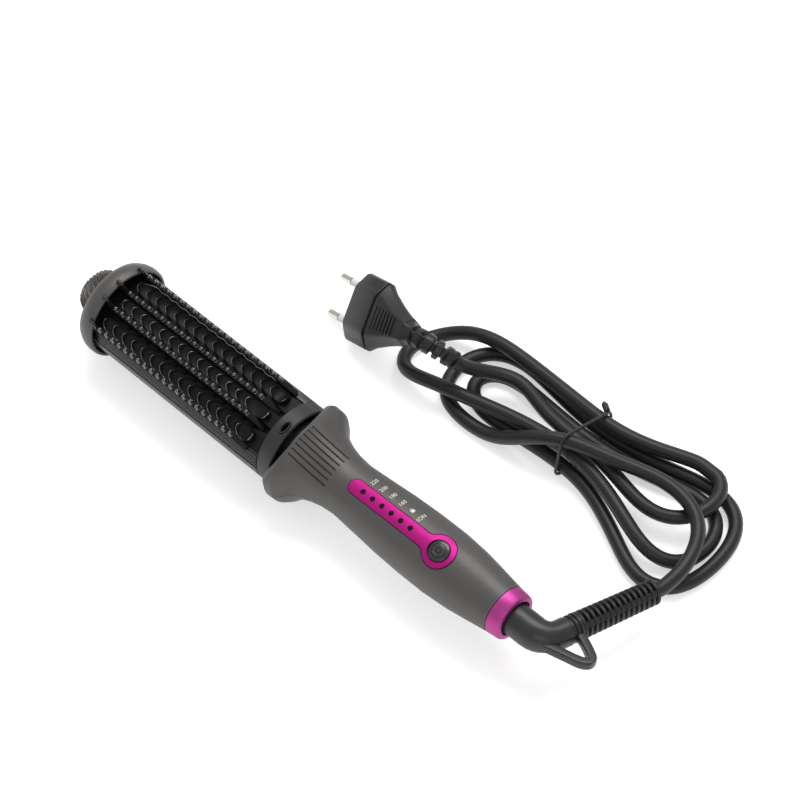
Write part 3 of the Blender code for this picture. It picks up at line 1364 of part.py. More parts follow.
def make_plug(parent, origin):
    """Flat two-pin plug: hexagonal body, narrowing grip and a slotted neck that bends down."""
    edge = PLUG_EDGE
    half, flat, thick = PLUG_HALF_WIDTH, PLUG_FLAT_HALF_WIDTH, PLUG_HALF_THICKNESS
    front = PLUG_FRONT_LENGTH
    step = PLUG_GRIP_STEP
    rings = [plug_ring(0.0, half - step, flat - step, thick - step, edge),
             plug_ring(-step, half, flat, thick, edge),
             plug_ring(-front, half, flat, thick, edge),
             plug_ring(-front - step, half - step * 0.5, flat - step, thick - step, edge)]
    for share, wide, deep in ((0.35, 0.72, 0.93), (0.68, 0.50, 0.88), (0.90, 0.40, 0.84)):
        x = -front - (PLUG_BODY_LENGTH - front) * share
        rings.append(plug_ring(x, half * wide, half * wide * 0.62, thick * deep, edge * wide))
    across = Vector((0.0, 1.0, 0.0))
    face = Vector((0.0, 0.0, 1.0))
    line = neck_line()
    slots = NECK_SLOTS * 4
    for k in range(slots + 1):
        share = k / slots
        place_at = share * (len(line) - 1)
        low = min(int(place_at), len(line) - 2)
        centre = line[low].lerp(line[low + 1], place_at - low)
        along = (line[min(low + 1, len(line) - 1)] - line[max(low - 1, 0)]).normalized()
        if low == 0:
            along = (line[1] - line[0]).normalized()
        if k == slots:
            along = (line[-1] - line[-2]).normalized()
        radius = PLUG_NECK_RADIUS * (1.0 - NECK_TAPER_SHARE * share)
        if k % 4 in (2, 3) and 0 < k < slots:
            radius -= PLUG_NECK_GROOVE
        rings.append(round_ring(centre, along, radius, across, face))
    mesh = mesh_from_rings("plug_body", rings)
    body = add_object("plug_body", mesh, cord_black(), parent)
    where = Matrix.Translation(origin) @ plug_frame()
    body.matrix_local = where
    for number, side in ((1, -1.0), (2, 1.0)):
        make_pin(parent, origin, number, side * PIN_PITCH / 2)
    return where @ line[-1], (where.to_3x3() @ (line[-1] - line[-2])).normalized()


def neck_line():
    """Centre line of the neck in the plug's frame: straight out, then bending down and aside."""
    start = -PLUG_BODY_LENGTH
    length = PLUG_NECK_LENGTH
    chosen = [(start + length * a, length * b, length * c) for a, b, c in NECK_LINE_SHARES]
    return smooth_route(chosen, length / 8)


def make_pin(parent, origin, number, side):
    """A pin with a slimmer shank in its insulating sleeve."""
    where = Matrix.Translation(origin) @ plug_frame() @ Matrix.Translation((0.0, side, 0.0))
    sleeve_profile = [(CLEARANCE, PIN_SHANK_RADIUS + CLEARANCE / 2), (CLEARANCE, PIN_RADIUS),
                      (PIN_SLEEVE_LENGTH, PIN_RADIUS * 0.96),
                      (PIN_SLEEVE_LENGTH, PIN_SHANK_RADIUS + CLEARANCE / 2)]
    sleeve = add_object(f"pin_sleeve_{number}", turned(f"pin_sleeve_{number}", sleeve_profile, 16),
                        white_plastic(), parent)
    sleeve.matrix_local = where
    bare = PIN_SLEEVE_LENGTH + CLEARANCE
    profile = [(CLEARANCE, PIN_SHANK_RADIUS), (bare, PIN_SHANK_RADIUS), (bare, PIN_RADIUS),
               (PIN_LENGTH - PIN_RADIUS * 0.4, PIN_RADIUS), (PIN_LENGTH, PIN_RADIUS * 0.55)]
    name = f"plug_pin_{number}"
    pin = add_object(name, solid_turned(name, profile, 16), bare_metal(), parent)
    pin.matrix_local = where


# Assembly

def empty(name, matrix, parent=None):
    item = bpy.data.objects.new(name, None)
    bpy.context.scene.collection.objects.link(item)
    item.parent = parent
    item.matrix_local = matrix
    return item


def clear_scene():
    for item in list(bpy.data.objects):
        bpy.data.objects.remove(item, do_unlink=True)


def brush_matrix():
    """Rolls the brush, then leans it so that the cap's and the guard's rims rest on the floor."""
    cap_x = CAP_X + CAP_LENGTH * CAP_SHARES[4][0]
    guard_x = GUARD_X + FLARE_LENGTH * FLARE_SHARES[1][0]
    lean = math.atan2(GUARD_RADIUS - CAP_RADIUS, guard_x - cap_x)
    height = CAP_RADIUS / math.cos(lean) - cap_x * math.tan(lean)
    turn = Matrix.Rotation(-lean, 4, "Y")
    shift = Matrix.Translation((-ELBOW_TIP / 2, 0.0, height))
    return shift @ turn


def build():
    clear_scene()
    base = brush_matrix()
    frame = empty("brush_frame", base @ Matrix.Rotation(math.radians(ROLL), 4, "X"))
    swivel = empty("swivel_frame", base @ Matrix.Translation((HANDLE_END_X, 0.0, 0.0))
                   @ Matrix.Rotation(math.radians(CORD_TURN), 4, "X"))
    bpy.context.view_layer.update()

    make_cool_tip(frame)
    make_end_cap(frame)
    make_back_shell(frame)
    make_heater_core(frame)
    make_heating_parts(frame)
    make_comb_rows(frame)
    for number, side in enumerate((-1.0, 0.0, 1.0), 1):
        make_fin_bank(frame, f"heater_fins_{number}", side, FINS[number - 1])
    make_edge_rail(frame, "edge_rail_right", -1.0)
    make_edge_rail(frame, "edge_rail_left", 1.0)
    make_collar(frame)
    make_ion_outlet(frame)
    make_barrel_socket(frame)
    make_upper_shell(frame)
    make_lower_shell(frame)
    make_screws(frame)
    make_trim_strip(frame)
    foot = make_power_button(frame)
    make_lenses(frame)
    make_electronics(frame, foot)
    make_heater_leads(frame)
    make_end_ring(frame)
    _, sleeve_start = make_swivel_sleeve(frame)
    flange_x = sleeve_start - CLEARANCE - JOURNAL_FLANGE
    make_brush_block(frame, flange_x)
    make_contacts(swivel, flange_x)
    elbow_end, leave = make_swivel_elbow(swivel, flange_x)
    make_strain_relief(swivel, elbow_end, leave)

    room = empty("cord_frame", Matrix.Translation((-ELBOW_TIP / 2, 0.0, 0.0)))
    bpy.context.view_layer.update()
    relief_end = swivel.matrix_world @ (elbow_end + leave * RELIEF_LENGTH)
    relief_end = room.matrix_world.inverted() @ relief_end
    relief_way = (room.matrix_world.to_3x3().inverted() @ swivel.matrix_world.to_3x3() @ leave).normalized()
    make_cord(room, relief_end, relief_way)


def least_between(one, two, near):
    """Least clear distance of two tubes, apart from the ends that meet at a point."""
    least = HANK_REACH
    for a, b in zip(one, one[1:]):
        for k in range(6):
            point = a.lerp(b, k / 6)
            if (point - near).length < 2 * CORD_DIAMETER:
                continue
            for c, d in zip(two, two[1:]):
                share = max(0.0, min(1.0, (point - c).dot(d - c) / (d - c).length_squared))
                least = min(least, (point - c.lerp(d, share)).length - CORD_DIAMETER)
    return least


def route_length(points):
    return sum((b - a).length for a, b in zip(points, points[1:]))


def make_cord(room, relief_end, relief_way):
    """The plug, the hank and the two free stretches that join them."""
    lift = TIE_DIAMETER + 2 * CLEARANCE
    centre = Vector(HANK_CENTRE)
    plug_end, plug_way = make_plug(room, Vector(PLUG_PLACE))
    line = hank_line(centre, lift)
    tube("cord_hank", line, CORD_DIAMETER, cord_black(), 1, room)
    gap, hank_length = least_gap(line, CORD_DIAMETER)
    print(f"hank: length {hank_length:.3f} m, least gap to itself {gap * 1000:.2f} mm")
    way = (line[0] - line[1]).normalized()
    hank_start = line[0] + way * CLEARANCE
    start = plug_end + plug_way * CLEARANCE
    bend = [start + plug_way * CORD_DIAMETER, *TO_PLUG_POINTS, hank_start + way * CORD_DIAMETER]
    plug_run = [start] + smooth_route(bend, CORD_DIAMETER) + [hank_start]
    tube("cord_to_plug", plug_run, CORD_DIAMETER, cord_black(), 2, room)

    way = (line[-1] - line[-2]).normalized()
    first = line[-1] + way * CLEARANCE
    last = relief_end + relief_way * CLEARANCE
    bend = [first + way * CORD_DIAMETER, *LEAD_POINTS, last + relief_way * CORD_DIAMETER]
    lead_run = [first] + smooth_route(bend, CORD_DIAMETER * 1.6) + [last]
    tube("cord_lead", lead_run, CORD_DIAMETER, cord_black(), 2, room)
    strands = [hank_point(half / 2, centre, lift) for half in range(6)]
    strands += [a.lerp(b, (centre.x - a.x) / (b.x - a.x)) for a, b in zip(lead_run, lead_run[1:])
                if a.x <= centre.x < b.x]
    make_tie(room, centre.x, strands)

    print(f"plug's stretch to hank {least_between(plug_run, line, hank_start) * 1000:.2f} mm, "
          f"lead to hank {least_between(lead_run, line, first) * 1000:.2f} mm, "
          f"lead to plug's stretch {least_between(lead_run, plug_run, first) * 1000:.2f} mm")
    total = hank_length + route_length(plug_run) + route_length(lead_run)
    print(f"cord: to plug {route_length(plug_run):.3f} m, lead {route_length(lead_run):.3f} m, "
          f"in all {total:.3f} m")


build()
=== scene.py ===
# %% [markdown]
# # A heated round brush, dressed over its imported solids
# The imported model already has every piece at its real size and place. This lesson loads it, sets up the
# camera and the light, and then gives each piece the surface that the real one shows.

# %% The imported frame
import json
import math

import bmesh
import bpy
from mathutils import Matrix, Vector

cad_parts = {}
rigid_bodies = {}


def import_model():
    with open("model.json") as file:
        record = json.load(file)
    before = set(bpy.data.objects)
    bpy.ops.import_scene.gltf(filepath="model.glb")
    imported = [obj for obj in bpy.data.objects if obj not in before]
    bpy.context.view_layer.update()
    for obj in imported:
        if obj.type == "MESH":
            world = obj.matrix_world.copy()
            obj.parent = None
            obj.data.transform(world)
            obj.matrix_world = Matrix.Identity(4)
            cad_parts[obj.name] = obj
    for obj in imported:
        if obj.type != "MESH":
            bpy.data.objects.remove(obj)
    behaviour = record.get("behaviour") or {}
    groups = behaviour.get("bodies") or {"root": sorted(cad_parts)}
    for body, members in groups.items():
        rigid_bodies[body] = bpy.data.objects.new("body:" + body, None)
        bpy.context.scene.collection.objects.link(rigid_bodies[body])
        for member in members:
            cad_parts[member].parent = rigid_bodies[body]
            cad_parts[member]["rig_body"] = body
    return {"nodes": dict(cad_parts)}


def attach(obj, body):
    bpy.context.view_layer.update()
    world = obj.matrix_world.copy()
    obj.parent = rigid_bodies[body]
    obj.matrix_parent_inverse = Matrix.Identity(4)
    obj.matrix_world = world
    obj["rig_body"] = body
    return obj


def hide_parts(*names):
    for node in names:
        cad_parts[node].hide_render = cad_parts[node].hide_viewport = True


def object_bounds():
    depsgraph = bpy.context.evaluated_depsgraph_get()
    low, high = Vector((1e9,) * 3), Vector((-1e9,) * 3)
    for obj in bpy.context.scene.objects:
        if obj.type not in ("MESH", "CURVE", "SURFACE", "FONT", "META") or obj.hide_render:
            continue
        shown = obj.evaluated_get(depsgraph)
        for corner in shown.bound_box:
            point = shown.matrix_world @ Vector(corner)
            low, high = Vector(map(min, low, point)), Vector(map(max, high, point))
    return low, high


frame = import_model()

cad_low, cad_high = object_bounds()
print("solids fill", [round(1000 * (b - a), 1) for a, b in zip(cad_low, cad_high)], "mm")

# %% [markdown]
# ## The camera
# The photograph looks down on the table at about fifty degrees, from the handle's side, through a long
# lens. A long lens keeps the tip and the cord end at nearly one scale. The place and the turn were worked
# out from the ends of the handle and the plug's pins, whose sizes are known.

# %% The camera
AZIMUTH = math.radians(44.776)
ELEVATION = math.radians(51.0)
CAMERA_PLACE = (0.65791, -0.61483, 1.18767)
FOCAL_MM = 144.0
SENSOR_MM = 36.0
NEAREST, FURTHEST = 0.05, 30.0

lens = bpy.data.cameras.new("table_camera")
lens.lens = FOCAL_MM
lens.sensor_width = SENSOR_MM
lens.clip_start = NEAREST
lens.clip_end = FURTHEST
camera = bpy.data.objects.new("table_camera", lens)
bpy.context.scene.collection.objects.link(camera)
camera.location = CAMERA_PLACE
away = Vector((math.sin(AZIMUTH) * math.cos(ELEVATION), -math.cos(AZIMUTH) * math.cos(ELEVATION),
               math.sin(ELEVATION)))
camera.rotation_mode = "QUATERNION"
camera.rotation_quaternion = (-away).to_track_quat("-Z", "Y")
bpy.context.scene.camera = camera
print("camera", [round(c, 3) for c in camera.location], "m")

# %% [markdown]
# ## Sums on shader sockets
# Most finishes mix a few masks. Written as nodes they are hard to read, so one small class wraps a socket
# and lets Python's own signs stand for Math nodes. A second class holds a node tree: its method `node`
# makes any node from its kind, its settings and its sockets. A material is such a tree with a few helpers.

# %% A socket that can be added and multiplied
class Mask:
    """A number that varies over a surface."""

    def __init__(self, nodes, socket):
        self.nodes = nodes
        self.socket = socket

    def sum(self, operation, first, second=0.0):
        return self.nodes.node("Math", {"operation": operation}, {0: first, 1: second})

    def __add__(self, other):
        return self.sum("ADD", self, other)

    def __sub__(self, other):
        return self.sum("SUBTRACT", self, other)

    def __rsub__(self, other):
        return self.sum("SUBTRACT", other, self)

    def __mul__(self, other):
        return self.sum("MULTIPLY", self, other)

    def __gt__(self, other):
        return self.sum("GREATER_THAN", self, other)

    def sharpened(self, low, high):
        """0 below the first value, 1 above the second, smooth between."""
        settings = {"interpolation_type": "SMOOTHSTEP"}
        return self.nodes.node("MapRange", settings, {"Value": self, "From Min": low, "From Max": high})

    __radd__ = __add__
    __rmul__ = __mul__


# %% A node tree
class Nodes:
    """The nodes of a material or of the world."""

    def __init__(self, tree):
        self.tree = tree

    def put(self, socket, value):
        """Links a mask to a socket, or sets the socket to a plain value."""
        if isinstance(value, Mask):
            self.tree.links.new(value.socket, socket)
        elif isinstance(value, tuple) and len(value) == 3 and socket.type == "RGBA":
            socket.default_value = (*value, 1.0)
        else:
            socket.default_value = value

    def node(self, kind, settings, sockets, output=0):
        made = self.tree.nodes.new("ShaderNode" + kind)
        for name, value in settings.items():
            setattr(made, name, value)
        for name, value in sockets.items():
            self.put(made.inputs[name], value)
        return Mask(self, made.outputs[output])


# %% A material
class Finish(Nodes):
    """One material, made from a few masks. Constants name the shader's sockets in small letters."""

    def __init__(self, name, **constants):
        self.material = bpy.data.materials.new(name)
        self.material.use_nodes = True
        super().__init__(self.material.node_tree)
        self.shader = self.tree.nodes["Principled BSDF"]
        self.place = None
        for word, value in constants.items():
            self.feed(word.replace("_", " ").title().replace("Ior", "IOR"), value)

    def feed(self, name, value):
        self.put(self.shader.inputs[name], value)

    def where(self):
        """The point of the surface in metres, in the piece's own space."""
        if self.place is None:
            self.place = self.node("TexCoord", {}, {}, "Object")
        return self.place

    def stretched(self, x, y, z):
        """The same point with its three parts scaled apart."""
        settings = {"operation": "MULTIPLY"}
        return self.node("VectorMath", settings, {0: self.where(), 1: (x, y, z)})

    def cloud(self, size, detail=2.0, rough=0.5, place=None):
        """Soft noise whose blotches are about `size` metres across."""
        place = place or self.where()
        sockets = {"Vector": place, "Scale": 1.0 / size, "Detail": detail, "Roughness": rough}
        return self.node("TexNoise", {}, sockets, "Fac")

    def grains(self, size):
        """Small cells, each with its own grey, about `size` metres across."""
        sockets = {"Vector": self.where(), "Scale": 1.0 / size}
        cells = self.node("TexVoronoi", {"feature": "F1"}, sockets, "Color")
        return self.node("SeparateColor", {}, {"Color": cells}, "Red")

    def colours(self, mask, first, second):
        """The first colour where the mask is 0, the second where it is 1."""
        return self.node("Mix", {"data_type": "RGBA"}, {0: mask, 6: first, 7: second}, 2)

    def bump(self, height, depth, strength):
        """Raises the surface by `depth` metres where the mask is 1."""
        sockets = {"Height": height, "Distance": depth, "Strength": strength}
        self.feed("Normal", self.node("Bump", {}, sockets))


# %% [markdown]
# ## Table and light
# The product lies on a white table without an edge. The floor takes the soft shadow, and the camera sees it
# a little brighter than its paint, so that it closes to white. One large lamp hangs above and behind the
# brush, a weak one fills from the front, and a pale world lights the rest.

# %% Table
TABLE_SIZE = 4.0
TABLE_GREY = 0.80
TABLE_TINT = 0.004
TABLE_BLOTCH = 0.30
TABLE_LIFT = 0.52


def make_table():
    """A square of white card. Its glow is seen by the camera and in reflections only."""
    mesh = bpy.data.meshes.new("table")
    half = TABLE_SIZE / 2
    corners = [(-half, -half, 0.0), (half, -half, 0.0), (half, half, 0.0), (-half, half, 0.0)]
    mesh.from_pydata(corners, [], [(0, 1, 2, 3)])
    table = bpy.data.objects.new("table", mesh)
    bpy.context.scene.collection.objects.link(table)
    paper = Finish("white_table", roughness=0.9)
    tint = paper.cloud(TABLE_BLOTCH) * TABLE_TINT + (TABLE_GREY - TABLE_TINT / 2)
    paper.feed("Base Color", paper.node("CombineColor", {}, {0: tint, 1: tint, 2: tint}))
    camera_ray = paper.node("LightPath", {}, {}, "Is Camera Ray")
    glossy_ray = paper.node("LightPath", {}, {}, "Is Glossy Ray")
    lift = (camera_ray + glossy_ray) * TABLE_LIFT
    paper.feed("Emission Color", paper.node("CombineColor", {}, {0: lift, 1: lift, 2: lift}))
    paper.feed("Emission Strength", 1.0)
    mesh.materials.append(paper.material)


make_table()
print("table", TABLE_SIZE, "m square")

# %% World and lamps
WORLD_LIGHT = 0.62
LAMPS = (("overhead_softbox", (-0.25, 0.55, 1.30), (0.0, 0.05, 0.0), (1.2, 0.7), 13.0),
         ("front_fill", (0.9, -0.9, 0.9), (0.0, 0.0, 0.0), (0.8, 0.8), 2.0))


def make_world():
    """White for the camera and through glass, and paler light on everything else."""
    world = bpy.data.worlds.new("studio")
    world.use_nodes = True
    sky = Nodes(world.node_tree)
    camera_ray = sky.node("LightPath", {}, {}, "Is Camera Ray")
    glass_ray = sky.node("LightPath", {}, {}, "Is Transmission Ray")
    seen = sky.node("Math", {"operation": "MAXIMUM"}, {0: camera_ray, 1: glass_ray})
    background = world.node_tree.nodes["Background"]
    sky.put(background.inputs["Color"], (1.0, 1.0, 1.0))
    sky.put(background.inputs["Strength"],
            sky.node("MapRange", {}, {"Value": seen, "To Min": WORLD_LIGHT, "To Max": 1.0}))
    bpy.context.scene.world = world


def add_lamp(name, place, aim, size, power):
    """A rectangular lamp that faces a point. Places and sizes are in metres, power in watts."""
    data = bpy.data.lights.new(name, "AREA")
    data.shape = "RECTANGLE"
    data.size, data.size_y = size
    data.energy = power
    lamp = bpy.data.objects.new(name, data)
    bpy.context.scene.collection.objects.link(lamp)
    lamp.location = place
    lamp.rotation_euler = (Vector(aim) - Vector(place)).to_track_quat("-Z", "Y").to_euler()
    print(name, "at", place)


make_world()
for lamp in LAMPS:
    add_lamp(*lamp)
bpy.context.scene.view_settings.view_transform = "Standard"

# %% [markdown]
# ## The brush's own axis
# The brush lies slightly rolled, with its keys turned towards the viewer. Pieces made here use the same
# measures as the solids: x from the tip, a radius, and an angle from the key side.

# %% From brush measures to the table
TIP = Vector((-0.16085, 0.0, 0.024508))
ROLL = math.radians(18.75)
SWIVEL_TURN = math.radians(-9.0)
LEAN = math.asin(0.00885)
HANDLE_END_X = 0.2807

LYING = Matrix.Translation(TIP) @ Matrix.Rotation(-LEAN, 4, "Y")
BRUSH = LYING @ Matrix.Rotation(ROLL, 4, "X")
SWIVEL = LYING @ Matrix.Translation((HANDLE_END_X, 0.0, 0.0)) @ Matrix.Rotation(SWIVEL_TURN, 4, "X")
print("brush rolled", round(math.degrees(ROLL), 2), "degrees, elbow", round(math.degrees(SWIVEL_TURN), 2))


def round_axis(x, radius, degrees):
    """A point of the brush: x from the tip, the distance from the axis, the angle from the key side."""
    turn = math.radians(degrees)
    return Vector((x, radius * math.sin(turn), radius * math.cos(turn)))


def add_piece(name, data, finish, body, stands_for=()):
    """Links a mesh or a curve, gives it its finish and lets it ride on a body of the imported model."""
    piece = bpy.data.objects.new(name, data)
    bpy.context.scene.collection.objects.link(piece)
    data.materials.append(finish.material)
    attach(piece, body)
    if stands_for:
        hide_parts(*stands_for)
    return piece


def way_at(line, k):
    """The direction of a line of points at its k-th one."""
    return (line[min(k + 1, len(line) - 1)] - line[max(k - 1, 0)]).normalized()


def round_ring(centre, side, up, radius, count):
    """Points of a circle in the plane of two directions."""
    turns = (2.0 * math.pi * k / count for k in range(count))
    return [centre + (side * math.cos(t) + up * math.sin(t)) * radius for t in turns]


def from_nearest(degrees, marks):
    """How far an angle is from the nearest of a few marks, in degrees."""
    return min(abs((degrees - mark + 180.0) % 360.0 - 180.0) for mark in marks)


# %% Bridged rings
def bridge(bm, rings):
    """Joins rings of points, one to the next, and closes both ends."""
    loops = [[bm.verts.new(p) for p in ring] for ring in rings]
    count = len(loops[0])
    for one, two in zip(loops, loops[1:]):
        for i in range(count):
            j = (i + 1) % count
            bm.faces.new((one[i], one[j], two[j], two[i]))
    bm.faces.new(list(reversed(loops[0])))
    bm.faces.new(loops[-1])


def lofted(name, rings, sharp):
    """One closed skin over rings of points, shaded smooth up to an angle in degrees."""
    bm = bmesh.new()
    bridge(bm, rings)
    return mesh_of(bm, name, sharp)


def mesh_of(bm, name, sharp):
    """Ends a mesh that was built by hand."""
    bmesh.ops.recalc_face_normals(bm, faces=bm.faces)
    mesh = bpy.data.meshes.new(name)
    bm.to_mesh(mesh)
    bm.free()
    mesh.shade_smooth()
    mesh.set_sharp_from_angle(angle=math.radians(sharp))
    return mesh


# %% [markdown]
# ## The cord's route
# The mains cord leaves the ribbed relief at the handle's end, passes over a hank that a wire tie holds at
# its waist, and ends in the flat plug. A hank is a wave: each half turn swings out to one side and back, so
# a cosine gives its reach and a sine the way across. The visible loops give the length, 1.33 m. A last pass
# spreads the sharpest bends, as the stiffness of a real cord does.

# %% Measures of the cord
CORD = 0.0070
GAP = 0.0003
LOOP_FROM_TIP = 0.16085
HANK_CENTRE = Vector((0.2262 - LOOP_FROM_TIP, 0.1036, 0.0))
HANK_REACH = 0.1020
HANK_WAIST = 0.0175
HANK_LOBE = 0.0600
HANK_LAYER = 0.0079
HANK_LIFT = 0.0022
# where the half turns cross the waist, as shares of its half width
WAIST_SHARES = (0.69, -0.12, 0.85, -0.565, 0.375, -0.76, 0.835, -1.12)
# reach of each lobe, and its shift and width sideways, as shares
LOBE_SHARES = ((0.735, 0.167, -0.167), (0.657, 0.137, 0.560), (1.0, -0.208, 0.500), (0.768, -0.030, 0.662),
               (0.640, 0.020, 0.233), (0.855, -0.140, 0.940), (0.755, 0.010, 0.480))
HANK_TURNS = (-0.09, 2.90)
HANK_POINTS = 24
# between these turns the hank comes down onto the table
HANK_CLIMB = (1.08, 1.23)
# at this turn the upper layer dips, fully within the first distance and not at all beyond the second
HANK_DIP_TURN = 0.75
HANK_DIP = (0.04, 0.12)
RELIEF_FOOT = Vector((0.140805, 0.017385, 0.024425))
RELIEF_WAY = Vector((0.2007, 0.9679, -0.1515)).normalized()
RELIEF_LENGTH = 0.0432
# the run between the hank and the relief, from the hank's side, measured from the knob's end
LEAD_POINTS = ((0.1970, 0.0820, 0.0084), (0.2065, 0.0840, 0.0146), (0.2150, 0.0873, 0.0196),
               (0.2250, 0.0922, 0.0217), (0.2377, 0.0970, 0.0213), (0.2522, 0.1015, 0.0203),
               (0.2613, 0.1056, 0.0195), (0.2722, 0.1078, 0.0193), (0.2837, 0.1078, 0.0191),
               (0.2932, 0.1053, 0.0189), (0.3015, 0.0991, 0.0187), (0.3073, 0.0899, 0.0184),
               (0.3110, 0.0770, 0.0177))
TO_PLUG_POINT = (0.1663, 0.0986, 0.0166)
CORD_SPACING = 0.0030
CURVE_STEPS = 24
STIFFNESS_ROUNDS = 200
STIFFNESS_SHARES = (0.500, -0.507)
BOX_ROOM = 0.0001


# %% [markdown]
# ## The hank
# One formula gives the cord's place for any number of turns, so a loop can ask it for as many points as it
# needs. It also brings the upper turns down to the table, and lifts every turn a little at the waist.

# %% The hank's wave
def ease(share):
    """0 to 1 with a soft start and end."""
    share = min(1.0, max(0.0, share))
    return share * share * (3.0 - 2.0 * share)


def hank_point(turns):
    """The cord's middle after some turns of the hank. The lower turns lie on the table."""
    half_turns = turns * 2
    index = math.floor(half_turns)
    reach, shift, width = LOBE_SHARES[index + 1]
    start, end = (HANK_WAIST * share for share in WAIST_SHARES[index + 1:index + 3])
    side = 1.0 if index % 2 == 0 else -1.0
    phase = math.pi * (half_turns - index - 0.5)
    swing = math.sin(phase)
    x = side * HANK_REACH * reach * math.cos(phase)
    y = (start + end) / 2 + (end - start) / 2 * swing
    y += HANK_LOBE * (shift + side * width * swing) * math.cos(phase) ** 2
    down, floor = HANK_CLIMB
    upper = 1.0 - ease((turns - down) / (floor - down))
    near, far = HANK_DIP
    upper *= ease((abs(turns - HANK_DIP_TURN) - near) / (far - near))
    z = CORD / 2 + HANK_LAYER * upper + HANK_LIFT * abs(swing) ** 6
    return HANK_CENTRE + Vector((x, y, z))


def hank_line():
    """The hank's points, with one more at either end to lead the curve out straight."""
    first, last = HANK_TURNS
    count = round((last - first) * HANK_POINTS)
    points = [hank_point(first + (last - first) * k / count) for k in range(count + 1)]
    before = (points[0] - points[1]).normalized() * CORD
    after = (points[-1] - points[-2]).normalized() * CORD
    return [points[0] + before] + points + [points[-1] + after]


# %% [markdown]
# ## A smooth line through chosen points
# Several pieces follow a line that is given by a few points. A Catmull-Rom curve passes through every one of
# them, and its points are then set out again at equal distances, so that a tube along it has even rings.

# %% Points at equal distances
def smooth_route(points, spacing):
    """Points a given distance apart along a smooth curve through the chosen ones."""
    chosen = [Vector(p) for p in points]
    ends = [2 * chosen[0] - chosen[1]] + chosen + [2 * chosen[-1] - chosen[-2]]
    fine = []
    for k in range(1, len(ends) - 2):
        a, b, c, d = ends[k - 1:k + 3]
        for i in range(CURVE_STEPS):
            t = i / CURVE_STEPS
            fine.append(0.5 * (2 * b + (c - a) * t + (2 * a - 5 * b + 4 * c - d) * t * t
                               + (3 * b - a - 3 * c + d) * t ** 3))
    fine.append(chosen[-1])
    walked = [0.0]
    for one, two in zip(fine, fine[1:]):
        walked.append(walked[-1] + (two - one).length)
    count = max(2, round(walked[-1] / spacing))
    route, k = [], 0
    for i in range(count + 1):
        goal = walked[-1] * i / count
        while k < len(walked) - 2 and walked[k + 1] < goal:
            k += 1
        share = (goal - walked[k]) / max(walked[k + 1] - walked[k], 1e-12)
        route.append(fine[k].lerp(fine[k + 1], min(1.0, share)))
    return route


# %% [markdown]
# ## The plug's frame
# The plug leans on the table with one pin down. Its measures run from the pins' side back along the body,
# so a matrix turns them to where it lies, and the neck's curve tells the cord where to end.

# %% The plug's frame and neck
PLUG_PLACE = Vector((0.0952 - LOOP_FROM_TIP, 0.0863, 0.0156))
PLUG_BODY_LENGTH = 0.0450
PLUG_NECK_LENGTH = 0.0240
PLUG_WAY = Vector((-0.922, 0.104, -0.374))
PLUG_ACROSS = Vector((0.204, -0.692, -0.693))
NECK_SHARES = ((0.0, 0.0, 0.0), (-0.29, 0.004, -0.03), (-0.52, 0.05, -0.175), (-0.667, 0.112, -0.383),
               (-0.73, 0.17, -0.61))
NECK_STEPS = 8


def plug_matrix():
    """Turns the plug's own measures, x along the pins and y from pin to pin, to where it lies."""
    to_pins = PLUG_WAY.normalized()
    across = (PLUG_ACROSS - to_pins * PLUG_ACROSS.dot(to_pins)).normalized()
    face = to_pins.cross(across)
    return Matrix.Translation(PLUG_PLACE) @ Matrix((to_pins, across, face)).transposed().to_4x4()


def neck_line(spacing):
    """The bent neck's middle line, in the plug's own measures."""
    chosen = [(-PLUG_BODY_LENGTH + PLUG_NECK_LENGTH * a, PLUG_NECK_LENGTH * b, PLUG_NECK_LENGTH * c)
              for a, b, c in NECK_SHARES]
    return smooth_route(chosen, spacing)


PLUG = plug_matrix()
neck = neck_line(PLUG_NECK_LENGTH / NECK_STEPS)
neck_end = PLUG @ neck[-1]
neck_way = (PLUG.to_3x3() @ (neck[-1] - neck[-2])).normalized()
print("neck ends", round(1000 * neck_end.z, 1), "mm above the table")

# %% The whole route, from the relief to the plug
def shifted(point):
    """A point measured from the knob's end, moved to where the frame has it."""
    return Vector(point) - Vector((LOOP_FROM_TIP, 0.0, 0.0))


def stiffened(points):
    """The route with its sharpest bends spread out, and its ends kept.

    Each point moves half way to its neighbours' middle and then back a little further, so that loops keep
    their size.
    """
    points = [p.copy() for p in points]
    for share in STIFFNESS_SHARES * STIFFNESS_ROUNDS:
        inner = zip(points[1:-3], points[2:-2], points[3:-1])
        points[2:-2] = [b + ((a + c) / 2 - b) * share for a, b, c in inner]
    return points


def inside_box(point, room):
    """The point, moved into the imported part's box where it stands out at the sides or below."""
    return Vector((min(point.x, cad_high[0] - room), min(point.y, cad_high[1] - room),
                   max(point.z, cad_low[2] + room)))


def cord_route():
    """The cord's middle line, from the relief's end to the plug's neck."""
    relief_end = RELIEF_FOOT + RELIEF_WAY * (RELIEF_LENGTH + GAP)
    points = [relief_end, relief_end + RELIEF_WAY * CORD]
    points += [shifted(p) for p in reversed(LEAD_POINTS)]
    points += list(reversed(hank_line()))
    plug_end = neck_end + neck_way * GAP
    points += [shifted(TO_PLUG_POINT), plug_end + neck_way * CORD, plug_end]
    return [inside_box(p, CORD / 2 + BOX_ROOM) for p in stiffened(smooth_route(points, CORD_SPACING))]


route = cord_route()
route_length = sum((b - a).length for a, b in zip(route, route[1:]))
lowest = min(p.z for p in route)
print("cord", round(route_length, 3), "m,", len(route), "points, lowest", round(1000 * lowest, 2), "mm")

# %% [markdown]
# ## Rubber and cord finishes
# The cord's jacket is black vinyl with a satin sheen: its pores are too fine to see singly, but they
# soften the highlight, and handling leaves dull patches. Both are masks of different sizes.

# %% Cord and rubber
HANDLED_PATCH = 0.020


